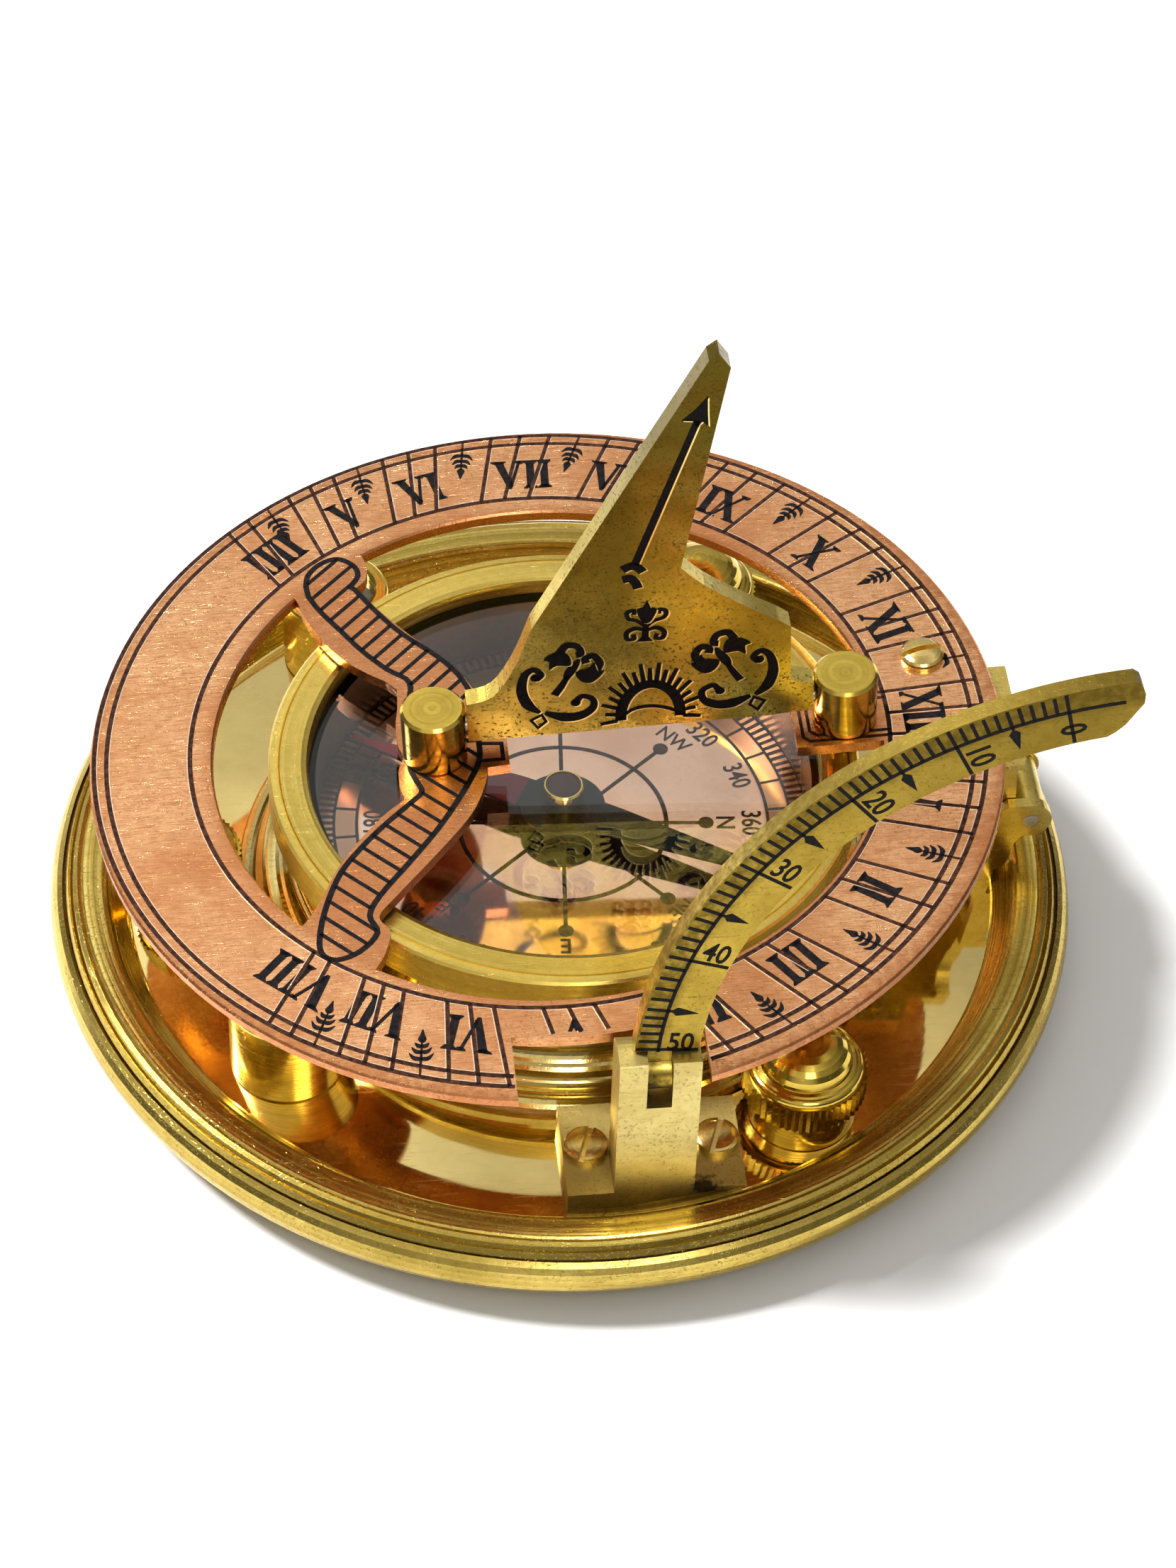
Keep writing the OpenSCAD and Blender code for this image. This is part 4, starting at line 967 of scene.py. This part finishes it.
def needle_marks():
    tip, shoulder, root, half, blunt = 29.2, 7.0, 5.4, 2.35, 0.42
    m = Marks()
    m.poly([(tip, 0), (tip - 1.2, blunt), (shoulder, half), (root, half + 0.05),
            (root, -half - 0.05), (shoulder, -half), (tip - 1.2, -blunt)])
    place = shift(0, 0, NEEDLE_Z + 0.5) @ Matrix.Rotation(NEEDLE_AZ, 4, "Z")
    m.piece("needle_red_half", place, needle_red, "compass_needle", "needle_paint", 0.03)


ring_marks()
wishbone_marks()
arc_marks()
gnomon_marks()
card_marks()
beaded_wire()
needle_marks()


# ---------------------------------------------------------------- floor, light and camera
def stage_floor():
    """A wide pale floor, and a backdrop behind the object that bends up out of it."""
    reach, half, depth, height = 14, 1.6, 1.3, 1.2
    bend, steps = 0.4, 12
    rows = []
    for i in range(steps + 1):
        a = math.pi / 2 * i / steps
        rows.append((depth + bend * math.sin(a), bend - bend * math.cos(a)))
    rows.append((depth + bend, height))
    points = [(x, y, z) for y, z in rows for x in (-half, half)]
    faces = [(2 * i, 2 * i + 1, 2 * i + 3, 2 * i + 2) for i in range(len(rows) - 1)]
    start = len(points)
    points += [(-reach, -reach, 0), (reach, -reach, 0), (reach, depth, 0), (-reach, depth, 0)]
    faces.append((start, start + 1, start + 2, start + 3))
    s = Shader("studio_white", (0.70, 0.70, 0.71), 0.0, 0.6)
    grain = s.grain(0.02, 3.0, 0.5)
    s.set("Base Color", s.blend(grain, (0.70, 0.70, 0.705), (0.685, 0.685, 0.69)))
    made = place_mesh("floor", points, faces, s.material, Matrix())


def light(name, kind, energy, at, direction):
    data = bpy.data.lights.new(name, kind)
    data.energy = energy
    aim = direction.to_track_quat("-Z", "Y").to_matrix().to_4x4()
    place_object(name, data, Matrix.Translation(at) @ aim)
    return data


def ramp(tree, value, stops):
    """A colour for each value; a stop is a value and the colour there."""
    made = tree.nodes.new("ShaderNodeValToRGB")
    tree.links.new(value, made.inputs[0])
    elements = made.color_ramp.elements
    for element, (position, colour) in ((elements[0], stops[0]), (elements[1], stops[-1])):
        element.position, element.color = position, (*colour, 1)
    for position, colour in stops[1:-1]:
        elements.new(position).color = (*colour, 1)
    return made.outputs[0]


def lamps():
    """A soft sun from the left and behind, and a small window above the front of the object."""
    sun = light("key", "SUN", 5.8, (0, 0, 0), Vector((0.62, -0.30, -0.84)))
    sun.angle = math.radians(14)
    at, look_at = Vector((0.07, -0.50, 0.56)), Vector((0, 0, 0.02))
    window = light("front_window", "AREA", 0.75, at, look_at - at)
    window.shape, window.size, window.size_y = "RECTANGLE", 0.24, 0.24


def room():
    """The room that the metal mirrors: it grows brighter upwards, with a panel overhead and a
    little behind the object, and a screen at the camera's side."""
    world = bpy.data.worlds.new("studio")
    bpy.context.scene.world = world
    world.use_nodes = True
    tree = world.node_tree
    background = tree.nodes["Background"]
    place = tree.nodes.new("ShaderNodeTexCoord").outputs["Generated"]

    def toward(direction):
        made = tree.nodes.new("ShaderNodeVectorMath")
        made.operation = "DOT_PRODUCT"
        made.inputs[1].default_value = direction
        tree.links.new(place, made.inputs[0])
        return made.outputs["Value"]

    parts = tree.nodes.new("ShaderNodeSeparateXYZ")
    tree.links.new(place, parts.inputs[0])
    walls = [(v, (c, 0.98 * c, 0.94 * c))
             for v, c in ((0.25, 0.14), (0.5, 0.34), (0.74, 0.42), (0.84, 0.80))]
    colour = ramp(tree, parts.outputs["Z"],
                  [(0.0, (0.11, 0.108, 0.104)), *walls, (1.0, (0.40, 0.39, 0.375))])
    fringe = [(v, (c, c, 0.97 * c)) for v, c in ((0.80, 0.34), (0.955, 0.52), (0.975, 0.72))]
    panel = ramp(tree, toward((-0.12, 0.60, 0.79)),
                 [(0.30, (0.0, 0.0, 0.0)), *fringe, (0.998, (1.0, 0.99, 0.97))])
    screen = ramp(tree, toward((-0.15, -0.70, 0.70)),
                  [(0.72, (0.0, 0.0, 0.0)), (0.92, (0.7, 0.69, 0.66))])
    for source in (panel, screen):
        both = tree.nodes.new("ShaderNodeMix")
        both.data_type, both.blend_type = "RGBA", "LIGHTEN"
        both.inputs[0].default_value = 1.0
        tree.links.new(source, both.inputs[6])
        tree.links.new(colour, both.inputs[7])
        colour = both.outputs[2]
    tree.links.new(colour, background.inputs["Color"])
    background.inputs["Strength"].default_value = 1.0


def camera():
    """The camera of the photograph, as worked out from the circles in it."""
    eye = (-0.04618, -0.37266, 0.42470)
    az, el, roll = math.radians(7.52), math.radians(46.91), math.radians(2.16)
    forward = Vector((math.sin(az) * math.cos(el), math.cos(az) * math.cos(el), -math.sin(el)))
    right = Vector((math.cos(az), -math.sin(az), 0))
    up = right.cross(forward)
    right, up = (right * math.cos(roll) + up * math.sin(roll),
                 up * math.cos(roll) - right * math.sin(roll))
    data = bpy.data.cameras.new("camera")
    data.sensor_width, data.lens = 36, 103.19
    data.clip_start, data.clip_end = 0.01, 20
    axes = Matrix((right, up, -forward)).transposed().to_4x4()
    bpy.context.scene.camera = place_object("camera", data, Matrix.Translation(eye) @ axes)


stage_floor()
lamps()
room()
camera()
bpy.context.scene.view_settings.view_transform = "Standard"
bpy.context.scene.view_settings.look = "Medium High Contrast"
